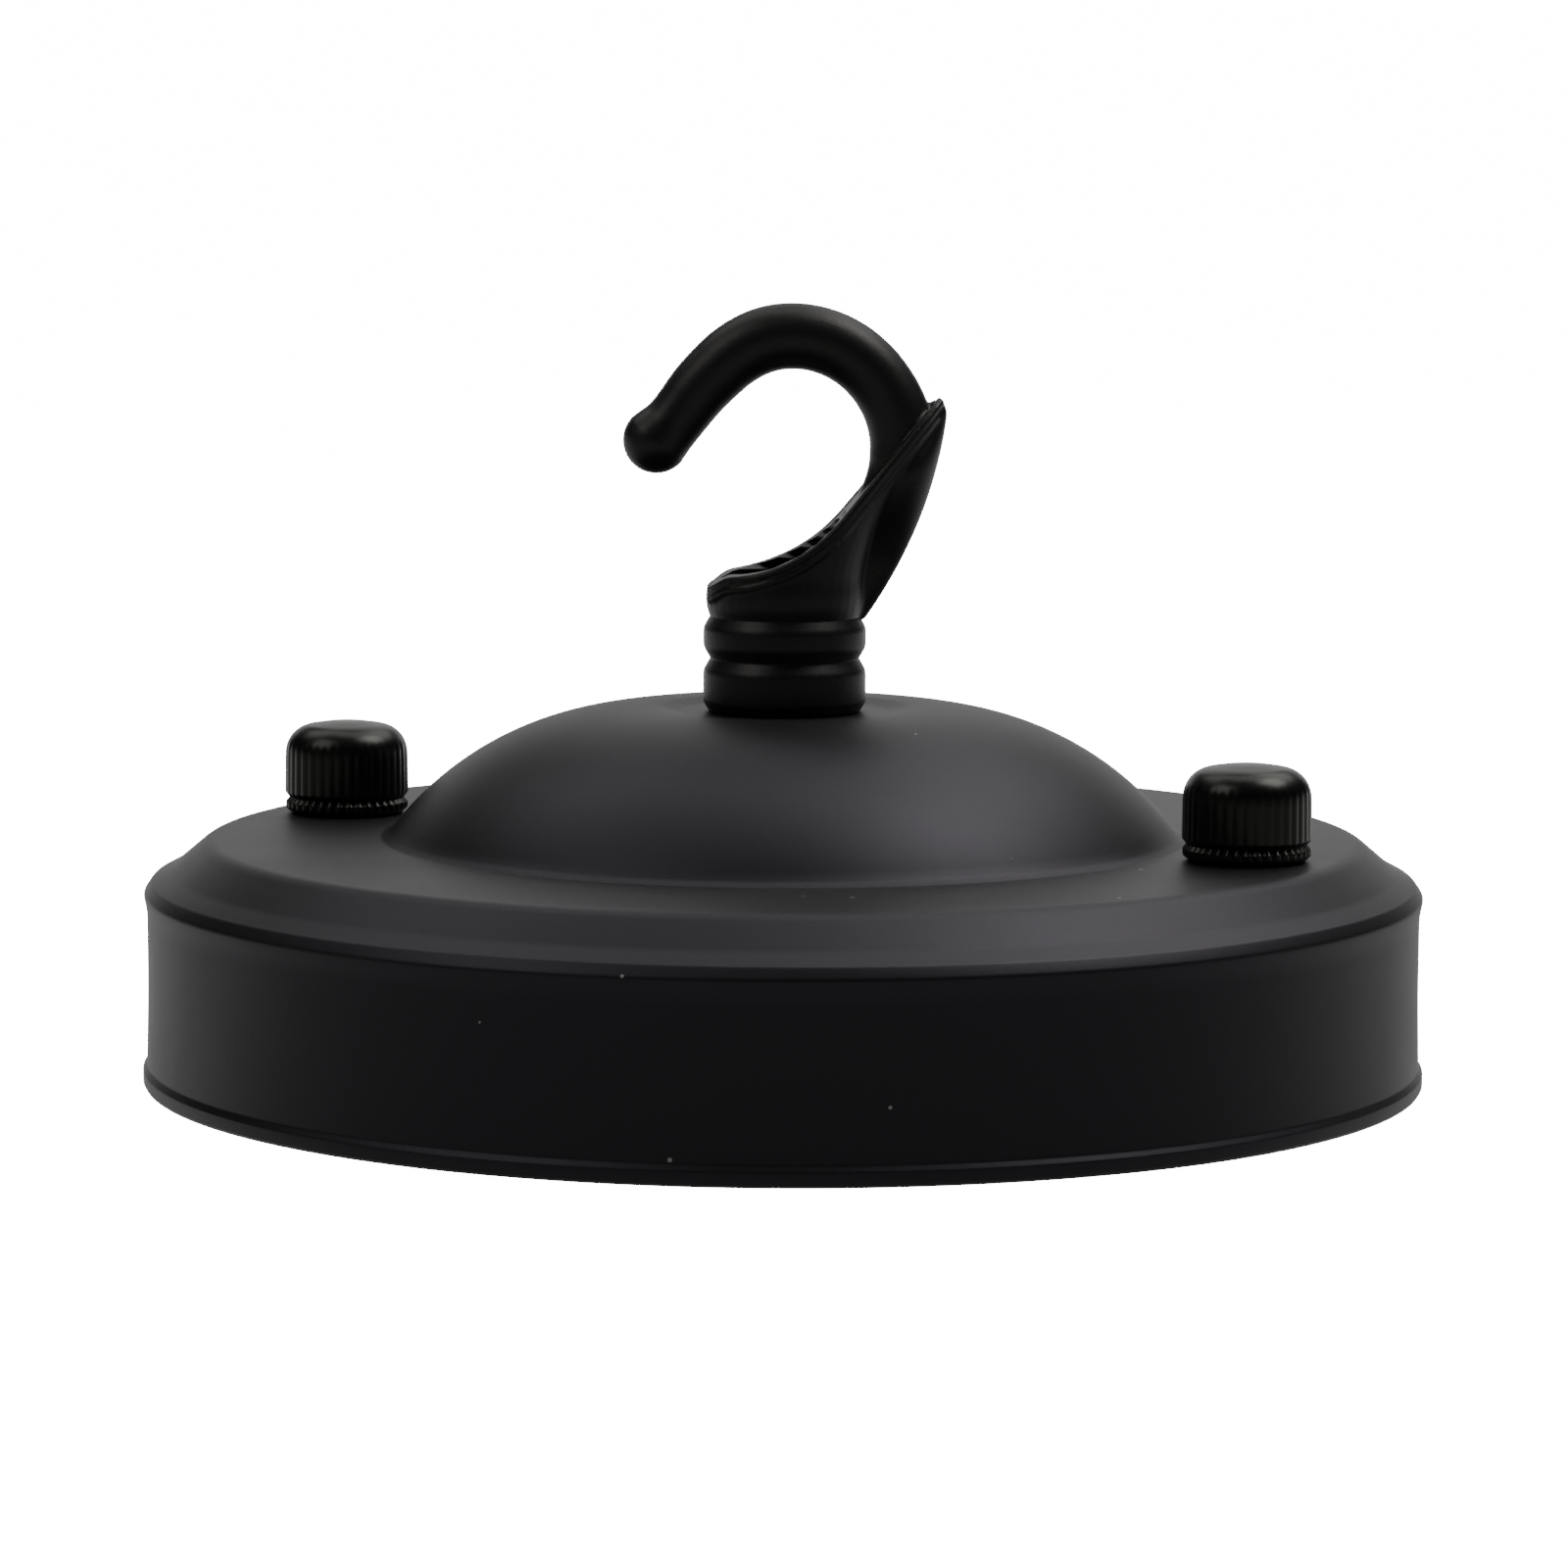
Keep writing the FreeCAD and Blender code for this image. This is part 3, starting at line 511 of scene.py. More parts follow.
def cover_paint():
    """The cover's matt paint."""
    looks = bpy.context.scene.rose_finish
    return black_paint("matt_cover_paint", looks.cover_black, looks.cover_tint,
                       looks.cover_roughness, grain_scale=2600.0, grain_depth=0.006 * MM,
                       dust_share=0.2, spread=0.06)


def hook_paint():
    """The hook's coarser paint."""
    looks = bpy.context.scene.rose_finish
    return black_paint("casting_paint", looks.hook_black, looks.hook_tint, looks.hook_roughness,
                       grain_scale=1500.0, grain_depth=0.018 * MM, dust_share=0.03, spread=0.06)


def nut_paint():
    """The smoother lacquer of the cap nuts."""
    looks = bpy.context.scene.rose_finish
    return black_paint("nut_lacquer", looks.nut_black, looks.nut_tint, looks.nut_roughness,
                       grain_scale=1200.0, grain_depth=0.004 * MM, dust_share=0.04, spread=0.04)


def zinc_plate(name="zinc_plate", pitch=0.0, start=0.0):
    """Zinc-plated steel, with a thread where a pitch is given."""
    looks = bpy.context.scene.rose_finish
    return metal(name, looks.zinc, roughness=0.3, grain_scale=1800.0, pitch=pitch, start=start)


def turned_brass():
    """The brass of the nut and the earth terminal."""
    looks = bpy.context.scene.rose_finish
    return metal("turned_brass", looks.brass, roughness=0.26, grain_scale=2200.0)


# Pieces ---------------------------------------------------------------------------------


def cover_outline(sizes):
    """The cover's outer surface from the rim to the nipple hole, as (radius, height)."""
    wall, top = sizes.wall_radius, sizes.shoulder_height
    ring_r, ring_z = sizes.ring_radius, sizes.ring_height
    dome_z = sizes.crest_height - sizes.dome_arc
    low = math.asin((ring_z - dome_z + 0.1 * MM) / sizes.dome_arc)
    foot_r = sizes.dome_centre_radius + sizes.dome_arc * math.cos(low)
    skirt = rounded_path([
        (sizes.rim_radius - 0.15 * MM, 0.0, 0.0), (sizes.rim_radius, 0.25 * MM, 0.15 * MM),
        (sizes.rim_radius, 1.25 * MM, 0.3 * MM), (wall + 0.05 * MM, 1.7 * MM, 0.35 * MM),
        (wall - 0.08 * MM, 8.0 * MM, 120.0 * MM), (wall - 0.05 * MM, 14.5 * MM, 6.0 * MM),
        (wall + 0.26 * MM, top - 0.4 * MM, 0.6 * MM), (wall - 0.4 * MM, top + 0.55 * MM, 0.5 * MM),
        (wall - 2.1 * MM, top + 1.45 * MM, 2.5 * MM), (ring_r - 0.2 * MM, ring_z, 2.2 * MM),
        (foot_r + 0.55 * MM, ring_z, 0.6 * MM),
        (foot_r - 0.05 * MM, ring_z + 0.3 * MM, 0.0)])
    dome = arc_points((sizes.dome_centre_radius, dome_z), sizes.dome_arc, low + 0.02,
                      math.pi / 2, steps=30)
    seat = rounded_path([
        (sizes.dome_centre_radius - 0.2 * MM, sizes.crest_height, 0.0),
        (sizes.dome_centre_radius - 1.4 * MM, sizes.crest_height - 0.03 * MM, 3.0 * MM),
        (8.9 * MM, sizes.seat_height, 2.0 * MM), (sizes.hole_radius, sizes.seat_height, 0.0)])
    return skirt + dome + seat


class ROSE_OT_cover(bpy.types.Operator):
    """Press the cover from one sheet, pierce it and paint it matt black"""
    bl_idname = "rose.cover"
    bl_label = "Cover"

    def execute(self, context):
        sizes = context.scene.rose_cover
        bm = bmesh.new()
        outline = [bench(point) for point in cover_outline(sizes)]
        spin_path(bm, outline, steps=224)
        bmesh.ops.recalc_face_normals(bm, faces=bm.faces)
        cover = new_piece("cover_pressing", bm)
        crest = max(cover.data.polygons, key=lambda face: face.center.z)
        if crest.normal.z < 0:
            cover.data.flip_normals()
        sheet = cover.modifiers.new("sheet", "SOLIDIFY")
        sheet.thickness = bench(sizes.thickness)
        sheet.offset = -1.0
        settle(cover)
        cutters = []
        hole_radius = bench(sizes.screw_hole_radius)
        for side in (-1, 1):
            hole = bmesh.new()
            bmesh.ops.create_cone(
                hole, cap_ends=True, segments=48, radius1=hole_radius, radius2=hole_radius,
                depth=8.0,
                matrix=Matrix.Translation((bench(CAP_X) * side, 0, bench(sizes.ring_height))))
            cutters.append(new_piece("hole_cutter", hole))
        cut_away(cover, *cutters)
        move_mesh(cover, Matrix.Scale(MM, 4))
        sharpen(cover, math.radians(50))
        finish_piece(cover, "cover", "cover_paint", cover_paint(), "cover_plate")
        return {"FINISHED"}


def thread_profile(radius, depth, pitch, low):
    """One pitch of a thread's outline, root to root, flattened a little at crest and root."""
    root, crest = radius - depth, radius
    return [(root, low), (root, low + pitch * 0.12), (crest, low + pitch * 0.46),
            (crest, low + pitch * 0.58), (root, low + pitch * 0.92), (root, low + pitch)]


def threaded_rod(bm, radius, depth, pitch, low, high, segments):
    """A closed rod with a real screw thread between two heights."""
    turns = math.ceil((high - low) / pitch) + 4
    spin_path(bm, thread_profile(radius, depth, pitch, low - 1.5 * pitch), segments, pitch, turns)
    for height, upper in ((low, False), (high, True)):
        bmesh.ops.bisect_plane(
            bm, geom=list(bm.verts) + list(bm.edges) + list(bm.faces), plane_co=(0, 0, height),
            plane_no=(0, 0, 1), clear_outer=upper, clear_inner=not upper)
    close_holes(bm)


# The hook's own shape in bench millimetres: distances along the plane it bends in, and heights.
POINT_HEADING = math.radians(233)
BALL_END = math.radians(88)  # just short of a right angle, so that the last ring keeps a width
MOUTH_START = -5.8
MOUTH_SLOPE = math.radians(50.5)
MOUTH_ENDS = (-7.2, 13.6)
MOUTH_BLOCK_BACK, MOUTH_BLOCK_FRONT, MOUTH_BLOCK_TOP, MOUTH_BLOCK_HALF = -20.0, 14.0, 60.0, 14.0
LIP_ROUNDING = (-4.4, 2.4, 1.1)  # where it starts, how far it runs, how far it drops
KEEL_FOOT, KEEL_TIP = 7.7, 26.15
KEEL_TIP_RUN, KEEL_TIP_DROP = 0.9, 0.45
KEEL_THICKENING = (12.0, 8.0, 1.3)  # start, run and amount in half thicknesses
KEEL_THINNING = (20.0, 6.0, 1.7)  # likewise, towards the tip
KEEL_ROOT_DEPTH = 2.0  # how far past the leaf's centre line the keel reaches
KEEL_BACK_CENTRE = (-24.09, 30.0)
KEEL_BACK_RADIUS = 38.0
RIM_BEADS = ((0.3, -0.05), (1.1, -0.16))  # how far below the rim, how far out of the wall
RIM_BEAD_ENDS = (-6.3, 13.0)
RIM_BEAD_RADIUS = 0.36
TIP_KNOB = (12.6, 0, 25.5)
TIP_KNOB_RADIUS = 0.75
INNER_THREAD = (8.7, 17.6)  # lower and upper end
THREAD_CLEARANCE = 0.3
LEAF_SECTIONS = (
    # height, centre, half width, half depth
    (7.0, 0.0, 6.0, 6.0), (8.1, 0.0, 6.35, 6.35), (8.9, 0.0, 6.6, 6.6), (10.0, 0.05, 6.68, 6.68),
    (11.4, 0.2, 6.55, 6.5), (13.5, 0.85, 6.35, 6.35), (16.0, 2.0, 6.1, 6.2),
    (18.0, 3.4, 5.9, 5.8), (20.0, 5.2, 5.7, 5.1), (22.0, 6.9, 5.3, 4.25),
    (24.0, 8.4, 4.4, 3.4), (26.4, 9.8, 3.3, 2.5))
ROD_ARC = (
    # angle round the eye, distance of the centre line, half thickness
    (-46.0, 8.0, 0.9), (-28.0, 8.72, 2.05), (-10.0, 9.32, 2.7), (5.0, 9.4, 2.77),
    (35.0, 9.3, 2.7), (75.0, 9.36, 2.76), (100.0, 9.3, 2.78), (120.0, 9.05, 2.74),
    (132.0, 8.92, 2.70))
ROD_END = (
    # share of the way to the point, half thickness, shift towards the eye
    (0.0, 2.70, 0.0), (0.3, 2.62, 0.05), (0.6, 2.51, 0.2), (0.78, 2.52, 0.2), (0.9, 2.67, 0.1),
    (1.0, 2.82, 0.0))


def table_row(rows, value):
    """Read a table of rows, each starting with its key, smoothly between its rows."""
    last = len(rows) - 2
    at = max(0, min(last, sum(1 for row in rows[1:-1] if row[0] <= value)))
    before, after = rows[at], rows[at + 1]
    span = after[0] - before[0]
    t = (value - before[0]) / span
    ahead, behind = rows[min(at + 2, last + 1)], rows[max(at - 1, 0)]
    mixed = []
    for k in range(1, len(before)):
        leave = (after[k] - behind[k]) / (after[0] - behind[0]) * span
        reach = (ahead[k] - before[k]) / (ahead[0] - before[0]) * span
        mixed.append((2 * t ** 3 - 3 * t ** 2 + 1) * before[k] + (t ** 3 - 2 * t ** 2 + t) * leave
                     + (3 * t ** 2 - 2 * t ** 3) * after[k] + (t ** 3 - t ** 2) * reach)
    return mixed


def leaf_section(height):
    """Centre, half width and half depth of the leaf at a height, in bench millimetres."""
    return table_row(LEAF_SECTIONS, min(max(height, LEAF_SECTIONS[0][0]), LEAF_SECTIONS[-1][0]))


def mouth_height(sizes, along):
    """Height of the mouth's rim at a distance along the hook's plane."""
    arc = bench(sizes.mouth_arc)
    inward, run, drop = LIP_ROUNDING
    lip = bench(sizes.lip_height) - drop * smooth_share((inward - along) / run)
    bend = MOUTH_START + arc * math.sin(MOUTH_SLOPE)
    if along <= bend:
        return lip + arc - math.sqrt(arc ** 2 - max(0.0, along - MOUTH_START) ** 2)
    return lip + arc * (1 - math.cos(MOUTH_SLOPE)) + (along - bend) * math.tan(MOUTH_SLOPE)


def keel_edge(height):
    """Distance of the keel's back edge from the collar's axis at a height."""
    reach, middle = KEEL_BACK_CENTRE
    return reach + math.sqrt(KEEL_BACK_RADIUS ** 2 - (height - middle) ** 2)


def leaf_and_keel(sizes):
    """The leaf-shaped outlet and the keel behind it, before the mouth is cut."""
    bm = bmesh.new()
    along, across = Vector((1, 0, 0)), Vector((0, 1, 0))
    low, high = bench(sizes.upper_groove) - 1.0, bench(sizes.leaf_top)
    rings = []
    for height in even_steps(low, high, 36):
        middle, half_width, half_depth = leaf_section(height)
        rings.append((Vector((middle, 0, height)), along, across, half_width, half_depth))
    loft(bm, rings)
    keel_rings = []
    for height in even_steps(KEEL_FOOT, KEEL_TIP, 20):
        near_tip = smooth_share((height - KEEL_TIP + KEEL_TIP_RUN) / KEEL_TIP_RUN)
        outer = keel_edge(height) - KEEL_TIP_DROP * near_tip ** 2
        inner = leaf_section(height)[0] + KEEL_ROOT_DEPTH
        thickness = 1.0 + eased(height, KEEL_THICKENING) - eased(height, KEEL_THINNING)
        keel_rings.append((Vector(((outer + inner) / 2, 0, height)), along, across,
                           (outer - inner) / 2, bench(sizes.keel_half) * thickness))
    loft(bm, keel_rings)
    return new_piece("hook_casting", bm)


def mouth_cutter(sizes):
    """Everything above the slanted mouth, as a block that runs across the hook."""
    bm = bmesh.new()
    outline = [(MOUTH_BLOCK_BACK, mouth_height(sizes, MOUTH_ENDS[0]))]
    outline += [(along, mouth_height(sizes, along)) for along in even_steps(*MOUTH_ENDS, 40)]
    outline += [(MOUTH_BLOCK_FRONT, MOUTH_BLOCK_TOP), (MOUTH_BLOCK_BACK, MOUTH_BLOCK_TOP)]
    face = bm.faces.new([bm.verts.new((x, -MOUTH_BLOCK_HALF, z)) for x, z in outline])
    grown = bmesh.ops.extrude_face_region(bm, geom=[face])["geom"]
    moved = [item for item in grown if isinstance(item, bmesh.types.BMVert)]
    bmesh.ops.translate(bm, vec=(0, 2 * MOUTH_BLOCK_HALF, 0), verts=moved)
    bmesh.ops.recalc_face_normals(bm, faces=bm.faces)
    return new_piece("mouth_cutter", bm)


def rod_line(sizes):
    """Centre points and radii of the rod from inside the leaf to the end of its point."""
    eye = Vector((bench(sizes.eye_offset), 0, bench(sizes.eye_height)))
    point = Vector((-bench(sizes.point_reach), 0, bench(sizes.point_height)))
    line = []
    first, leave = ROD_ARC[0][0], ROD_ARC[-1][0]
    for turn in even_steps(first, leave, 60):
        reach, half = table_row(ROD_ARC, turn)
        angle = math.radians(turn)
        line.append((eye + Vector((math.cos(angle), 0, math.sin(angle))) * reach, half))
    last = line[-1][0]
    run = (point - last).length
    angle = math.radians(leave)
    leaving = Vector((-math.sin(angle), 0, math.cos(angle))) * run
    heading = Vector((math.cos(POINT_HEADING), 0, math.sin(POINT_HEADING)))
    inward = Vector((-heading.z, 0, heading.x))
    for t in even_steps(0, 1, 24)[1:]:
        half, shift = table_row(ROD_END, t)
        centre = ((2 * t ** 3 - 3 * t ** 2 + 1) * last + (t ** 3 - 2 * t ** 2 + t) * leaving
                  + (3 * t ** 2 - 2 * t ** 3) * point + (t ** 3 - t ** 2) * heading * run)
        line.append((centre + inward * shift, half))
    ball = ROD_END[-1][1]
    for angle in even_steps(0, BALL_END, 8)[1:]:
        line.append((point + heading * ball * math.sin(angle), ball * math.cos(angle)))
    return line


def tube(bm, line, segments, level=None):
    """A closed tube along (centre, radius) stations; level is the direction across them all."""
    rings = []
    for i, (centre, radius) in enumerate(line):
        before = line[max(0, i - 1)][0]
        after = line[min(len(line) - 1, i + 1)][0]
        forward = (after - before).normalized()
        across = level
        if level is None:
            across = forward.cross(Vector((0, 0, 1))).normalized()
        rings.append((centre, across, forward.cross(across), radius, radius))
    loft(bm, rings, segments)


def rim_bead(sizes, side, drop, flare):
    """Stations of a thin bead that runs along one side of the mouth, just below its edge."""
    line = []
    for along in even_steps(*RIM_BEAD_ENDS, 39):
        height = mouth_height(sizes, along) - drop
        middle, half_width, half_depth = leaf_section(height)
        share_out = min(1.0, abs(along - middle) / half_width)
        depth = half_depth * math.sqrt(1.0 - share_out ** 2)
        line.append((Vector((along, side * (depth + flare), height)), RIM_BEAD_RADIUS))
    return line


def join_pieces(first, *others):
    """Merge the meshes of several pieces into the first one."""
    bm = bmesh.new()
    bm.from_mesh(first.data)
    for other in others:
        bm.from_mesh(other.data)
        bpy.data.objects.remove(other)
    bm.to_mesh(first.data)
    bm.free()
    return first


def collar(sizes):
    """The beaded collar, spun with its plain inside."""
    bead, groove = bench(sizes.collar_radius), bench(sizes.groove_radius)
    low, high = bench(sizes.lower_groove), bench(sizes.upper_groove)
    bore = bench(sizes.bore_radius)
    outline = rounded_path([
        (bore, 0.0, 0.0), (bead - 0.5, 0.0, 0.3), (bead, 0.85, 0.9),
        (bead, low - 1.0, 1.25), (groove, low - 0.05, 0.3), (groove, low + 0.05, 0.3),
        (bead, low + 1.0, 1.25), (bead, high - 1.0, 1.25), (groove, high - 0.05, 0.3),
        (groove, high + 0.1, 0.3), (groove - 0.3, high + 0.8, 0.0), (bore, high + 0.8, 0.0)])
    bm = bmesh.new()
    spin_path(bm, outline + [outline[0]], steps=128)
    bmesh.ops.recalc_face_normals(bm, faces=bm.faces)
    return new_piece("collar", bm)


class ROSE_OT_hook(bpy.types.Operator):
    """Cast the hook: beaded collar, threaded leaf-shaped outlet, keel, rod and point"""
    bl_idname = "rose.hook"
    bl_label = "Hook"

    def execute(self, context):
        sizes = context.scene.rose_hook
        grain = bench(sizes.grain)
        bore_radius = bench(sizes.bore_radius)
        casting = remesh(leaf_and_keel(sizes), grain, rounds=12)
        cut_away(casting, mouth_cutter(sizes))
        extras = bmesh.new()
        tube(extras, rod_line(sizes), segments=40, level=Vector((0, 1, 0)))
        for side in (-1, 1):
            for drop, flare in RIM_BEADS:
                tube(extras, rim_bead(sizes, side, drop, flare), segments=12)
        bmesh.ops.create_uvsphere(extras, u_segments=24, v_segments=16, radius=TIP_KNOB_RADIUS,
                                  matrix=Matrix.Translation(TIP_KNOB))
        join_pieces(casting, new_piece("rod_and_beads", extras))
        remesh(casting, grain, rounds=3)
        thread = bmesh.new()
        threaded_rod(thread, bore_radius + THREAD_CLEARANCE, bench(sizes.thread_depth),
                     bench(sizes.thread_pitch), *INNER_THREAD, segments=48)
        core = bmesh.new()
        bmesh.ops.create_cone(core, cap_ends=True, segments=64, radius1=bore_radius,
                              radius2=bore_radius, depth=10.0,
                              matrix=Matrix.Translation((0, 0, 4.0)))
        cut_away(casting, new_piece("thread_cutter", thread), new_piece("bore_cutter", core))
        join_pieces(casting, collar(sizes))
        place = (Matrix.Translation((0, 0, HOOK_LOW.z)) @ Matrix.Rotation(sizes.turn, 4, "Z")
                 @ Matrix.Scale(MM, 4))
        move_mesh(casting, place)
        sharpen(casting, math.radians(40))
        finish_piece(casting, "hook", "hook_paint", hook_paint(), "hook")
        return {"FINISHED"}


FOOT_FLUTES = 2.2  # how many times deeper the flutes are below the groove
STEPS_PER_TOOTH = 6
LONGEST_FACE = 0.45  # bench millimetres up the side of the nut


def cap_nut(sizes, side):
    """One knurled blind nut, spun and then fluted round its side."""
    radius, height, corner = bench(sizes.radius), bench(sizes.height), bench(sizes.corner)
    groove, deep = bench(sizes.groove_height), bench(sizes.groove_depth)
    bore, depth = bench(sizes.bore_radius), bench(sizes.bore_depth)
    outline = rounded_path([
        (bore, 0.0, 0.0), (radius - 0.6, 0.0, 0.15), (radius - 0.05, 0.5, 0.3),
        (radius - 0.05, groove - 0.4, 0.15), (radius - deep, groove - 0.03, 0.08),
        (radius - deep, groove + 0.03, 0.08), (radius, groove + 0.45, 0.15),
        (radius - 0.03, height - corner - 0.5, 0.3), (radius - 0.15, height - 0.6, corner),
        (radius * 0.25, height, 9.0), (0.0, height, 0.0)], math.radians(8))
    outline = [p for p in outline if p[0] > WELD] + [Vector((0.0, height))]
    inside = [Vector((0.0, depth)), Vector((bore - 0.3, depth - 0.9)), Vector((bore, 0.0))]
    fine = []
    for a, b in zip(outline, outline[1:]):
        parts = max(1, math.ceil((b - a).length / LONGEST_FACE))
        fine += [a.lerp(b, i / parts) for i in range(parts)]
    bm = bmesh.new()
    spin_path(bm, fine + [outline[-1]], sizes.teeth * STEPS_PER_TOOTH)
    flute = bench(sizes.flute_depth)
    for vert in bm.verts:
        reach = math.hypot(vert.co.x, vert.co.y)
        if reach < radius - deep - 0.05:
            continue
        fade = 1.0 - smooth_share((vert.co.z - (height - corner - 0.3)) / (corner * 0.55))
        fade *= smooth_share((vert.co.z - 0.25) / 0.4)
        wave = abs(math.sin(math.atan2(vert.co.y, vert.co.x) * sizes.teeth / 2))
        dip = flute * fade * (1.0 - wave) * (FOOT_FLUTES if vert.co.z < groove else 1.0)
        vert.co.x *= (reach - dip) / reach
        vert.co.y *= (reach - dip) / reach
    spin_path(bm, inside, sizes.teeth * STEPS_PER_TOOTH)
    bmesh.ops.remove_doubles(bm, verts=bm.verts, dist=WELD)
    bmesh.ops.recalc_face_normals(bm, faces=bm.faces)
    return new_piece(f"knurled_cap_nut_{side}", bm)


class ROSE_OT_cap_nuts(bpy.types.Operator):
    """Turn the two knurled cap nuts and lacquer them gloss black"""
    bl_idname = "rose.cap_nuts"
    bl_label = "Cap nuts"

    def execute(self, context):
        sizes = context.scene.rose_nuts
        lacquer = nut_paint()
        for side, sign in (("left", -1), ("right", 1)):
            nut = cap_nut(sizes, side)
            move_mesh(nut, Matrix.Translation((CAP_X * sign, 0, CAP_LOW.z)) @ Matrix.Scale(MM, 4))
            sharpen(nut, math.radians(60))
            finish_piece(nut, f"cap_nut_{side}", "nut_paint", lacquer, f"cap_nut_{side}")
        return {"FINISHED"}


class ROSE_OT_hidden_hardware(bpy.types.Operator):
    """Plate the strap, screws, nuts and washers under the cover, and break their edges"""
    bl_idname = "rose.hidden_hardware"
    bl_label = "Hidden hardware"

    def execute(self, context):
        finishes = {"zinc_steel": zinc_plate(), "brass": turned_brass()}
        screw_thread = (M4_PITCH, SCREW_LOW.z + M4_HEAD_HEIGHT)
        threads = {"fixing_screw_left": screw_thread, "fixing_screw_right": screw_thread,
                   "hollow_nipple": (NIPPLE_PITCH, 0.0)}
        slots = {part["node"]: part["material_slot"] for part in frame["record"]["subparts"]}
        for node, thing in frame["nodes"].items():
            if thing.hide_render or slots[node] not in finishes:
                continue
            finish = finishes[slots[node]]
            if node in threads:
                finish = zinc_plate(f"{node}_zinc", *threads[node])
            thing.data.materials.clear()
            thing.data.materials.append(finish)
            edge = thing.modifiers.new("broken_edges", "BEVEL")
            edge.width = 0.12 * MM
            edge.segments = 2
            edge.limit_method = "ANGLE"
            edge.angle_limit = math.radians(40)
        return {"FINISHED"}


# Stage ----------------------------------------------------------------------------------


SOFT_BOX_HEIGHT = 0.4
SOFT_BOXES = (
    # name, degrees round from behind the rose, degrees up, width, watts
    ("back_panel", 0, 10, 1.0, 1.0),
    ("back_box", 0, 40, 0.4, 0.4),
    ("back_right_box", 40, 50, 0.4, 0.8),
    ("right_box", 90, 60, 0.4, 2.2),
    ("back_left_box", -50, 55, 0.4, 0.6),
    ("front_left_box", -120, 45, 0.4, 0.8),
    ("top_box", 0, 80, 0.4, 0.6))


def soft_light(name, heading, rise, width, power, distance):
    """A soft box at a distance from the rose, facing it and hidden from the lens."""
    towards = Vector((math.sin(heading) * math.cos(rise), math.cos(heading) * math.cos(rise),
                      math.sin(rise)))
    light = bpy.data.lights.new(name, "AREA")
    light.shape = "RECTANGLE"
    light.size = width
    light.size_y = SOFT_BOX_HEIGHT
    light.energy = power
    lamp = bpy.data.objects.new(name, light)
    lamp.location = towards * distance
    lamp.rotation_euler = (-towards).to_track_quat("-Z", "Y").to_euler()
    lamp.visible_camera = False
    bpy.context.scene.collection.objects.link(lamp)


def studio_world(brightness, ambient, floor_light, view_turn):
    """A room the lens sees as white; to the rose it is dim above, and brightest low behind."""
    world = bpy.data.worlds.new("studio_room")
    bpy.context.scene.world = world
    world.use_nodes = True
    tree = world.node_tree
    room = tree.nodes["Background"]
    room.inputs["Color"].default_value = (1.0, 1.0, 1.0, 1.0)
    place = tree.nodes.new("ShaderNodeTexCoord")
    turn = tree.nodes.new("ShaderNodeMapping")
    turn.inputs["Rotation"].default_value = (0, 0, -view_turn)
    tree.links.new(place.outputs["Generated"], turn.inputs["Vector"])
    axes = tree.nodes.new("ShaderNodeSeparateXYZ")
    tree.links.new(turn.outputs["Vector"], axes.inputs["Vector"])
    below = math_node(tree, "LESS_THAN", axes.outputs["Z"], 0.0)
    far_floor = remap(tree, axes.outputs["Y"], floor_light, 3 * floor_light)
    low_light = math_node(tree, "MULTIPLY", below, far_floor)
    tree.links.new(math_node(tree, "MAXIMUM", low_light, ambient), room.inputs["Strength"])
    seen = tree.nodes.new("ShaderNodeBackground")
    seen.inputs["Color"].default_value = (1.0, 1.0, 1.0, 1.0)
    seen.inputs["Strength"].default_value = brightness
    rays = tree.nodes.new("ShaderNodeLightPath")
    pick = tree.nodes.new("ShaderNodeMixShader")
    tree.links.new(rays.outputs["Is Camera Ray"], pick.inputs["Fac"])
    tree.links.new(room.outputs["Background"], pick.inputs[1])
    tree.links.new(seen.outputs["Background"], pick.inputs[2])
    tree.links.new(pick.outputs["Shader"], tree.nodes["World Output"].inputs["Surface"])


def pale_floor(brightness):
    """A floor as bright to the lens as the room, and clear when seen from below."""
    material, tree, shader = new_material("pale_floor")
    shader.inputs["Base Color"].default_value = (0.8, 0.8, 0.8, 1.0)
    shader.inputs["Roughness"].default_value = 0.9
    shader.inputs["Emission Color"].default_value = (1.0, 1.0, 1.0, 1.0)
    shader.inputs["Emission Strength"].default_value = brightness
    clear = tree.nodes.new("ShaderNodeBsdfTransparent")
    sides = tree.nodes.new("ShaderNodeNewGeometry")
    pick = tree.nodes.new("ShaderNodeMixShader")
    tree.links.new(sides.outputs["Backfacing"], pick.inputs["Fac"])
    tree.links.new(shader.outputs["BSDF"], pick.inputs[1])
    tree.links.new(clear.outputs["BSDF"], pick.inputs[2])
    tree.links.new(pick.outputs["Shader"], tree.nodes["Material Output"].inputs["Surface"])
    return material


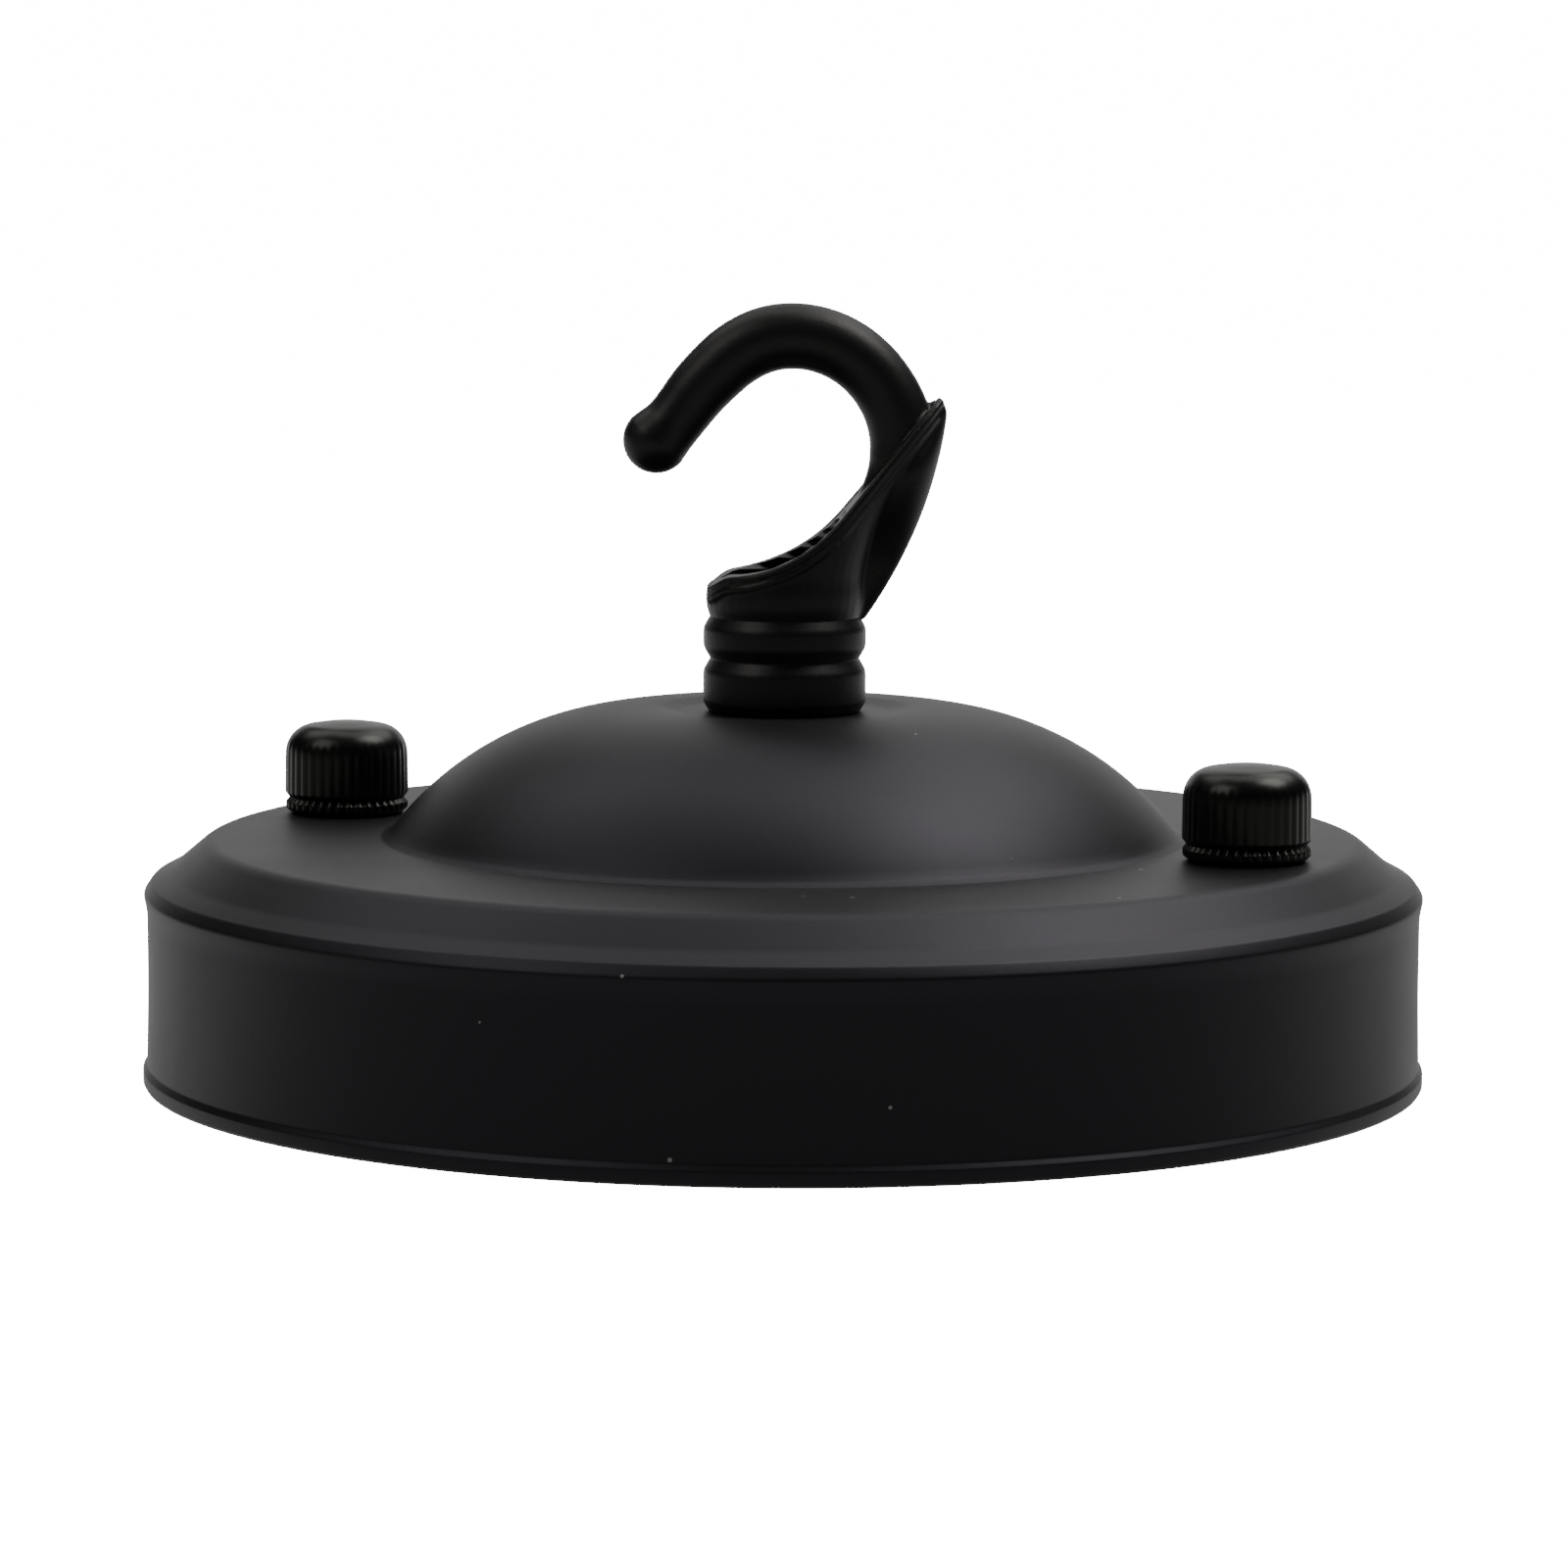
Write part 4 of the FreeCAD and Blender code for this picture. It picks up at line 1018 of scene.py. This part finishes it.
class ROSE_OT_stage(bpy.types.Operator):
    """Set up the pale floor, the soft light and the camera"""
    bl_idname = "rose.stage"
    bl_label = "Stage"

    def execute(self, context):
        sizes = context.scene.rose_stage
        bm = bmesh.new()
        bmesh.ops.create_grid(bm, x_segments=1, y_segments=1, size=sizes.floor_size / 2)
        floor = new_piece("floor", bm)
        floor.data.materials.append(pale_floor(sizes.brightness))
        floor.visible_diffuse = False
        floor.visible_glossy = False
        floor.visible_shadow = False

        studio_world(sizes.brightness, sizes.ambient, sizes.floor_light, sizes.view_turn)
        for name, heading, rise, width, watts in SOFT_BOXES:
            soft_light(name, math.radians(heading) - sizes.view_turn, math.radians(rise), width,
                       watts, sizes.light_distance)

        camera = bpy.data.objects.new("camera", bpy.data.cameras.new("camera"))
        camera.data.lens = sizes.focal_length
        camera.data.sensor_width = 36.0
        camera.data.clip_start = 0.01
        camera.data.clip_end = 50.0
        look = Matrix.Rotation(math.pi / 2 - sizes.view_pitch, 4, "X")
        turn = Matrix.Rotation(sizes.view_turn, 4, "Z")
        camera.matrix_world = (turn @ Matrix.Translation((0, -sizes.distance, sizes.lens_height))
                               @ look @ Matrix.Rotation(sizes.view_roll, 4, "Z"))
        context.scene.collection.objects.link(camera)
        context.scene.camera = camera
        return {"FINISHED"}


class ROSE_PT_panel(bpy.types.Panel):
    """The rose's sizes and finishes, and the buttons that build each piece"""
    bl_label = "Ceiling rose"
    bl_idname = "ROSE_PT_panel"
    bl_space_type = "VIEW_3D"
    bl_region_type = "UI"
    bl_category = "Rose"

    def draw(self, context):
        for name, _ in SETTINGS:
            group = getattr(context.scene, name)
            box = self.layout.box()
            for key in group.bl_rna.properties.keys():
                if key not in ("rna_type", "name"):
                    box.prop(group, key)
        for operator in OPERATORS:
            self.layout.operator(operator.bl_idname)


SETTINGS = (("rose_cover", CoverSizes), ("rose_hook", HookSizes), ("rose_nuts", CapNutSizes),
            ("rose_finish", FinishLooks), ("rose_stage", StageSizes))
OPERATORS = (ROSE_OT_cover, ROSE_OT_hook, ROSE_OT_cap_nuts, ROSE_OT_hidden_hardware,
             ROSE_OT_stage)


def register():
    """Add the sizes, the buttons and the panel to Blender."""
    for name, group in SETTINGS:
        bpy.utils.register_class(group)
        setattr(bpy.types.Scene, name, PointerProperty(type=group))
    for operator in OPERATORS:
        bpy.utils.register_class(operator)
    bpy.utils.register_class(ROSE_PT_panel)


def unregister():
    """Take them out again."""
    bpy.utils.unregister_class(ROSE_PT_panel)
    for operator in reversed(OPERATORS):
        bpy.utils.unregister_class(operator)
    for name, group in reversed(SETTINGS):
        delattr(bpy.types.Scene, name)
        bpy.utils.unregister_class(group)


def main():
    """Build every piece and the stage."""
    register()
    bpy.ops.rose.cover()
    bpy.ops.rose.hook()
    bpy.ops.rose.cap_nuts()
    bpy.ops.rose.hidden_hardware()
    bpy.ops.rose.stage()
    bpy.context.view_layer.update()


if __name__ == "__main__":
    main()
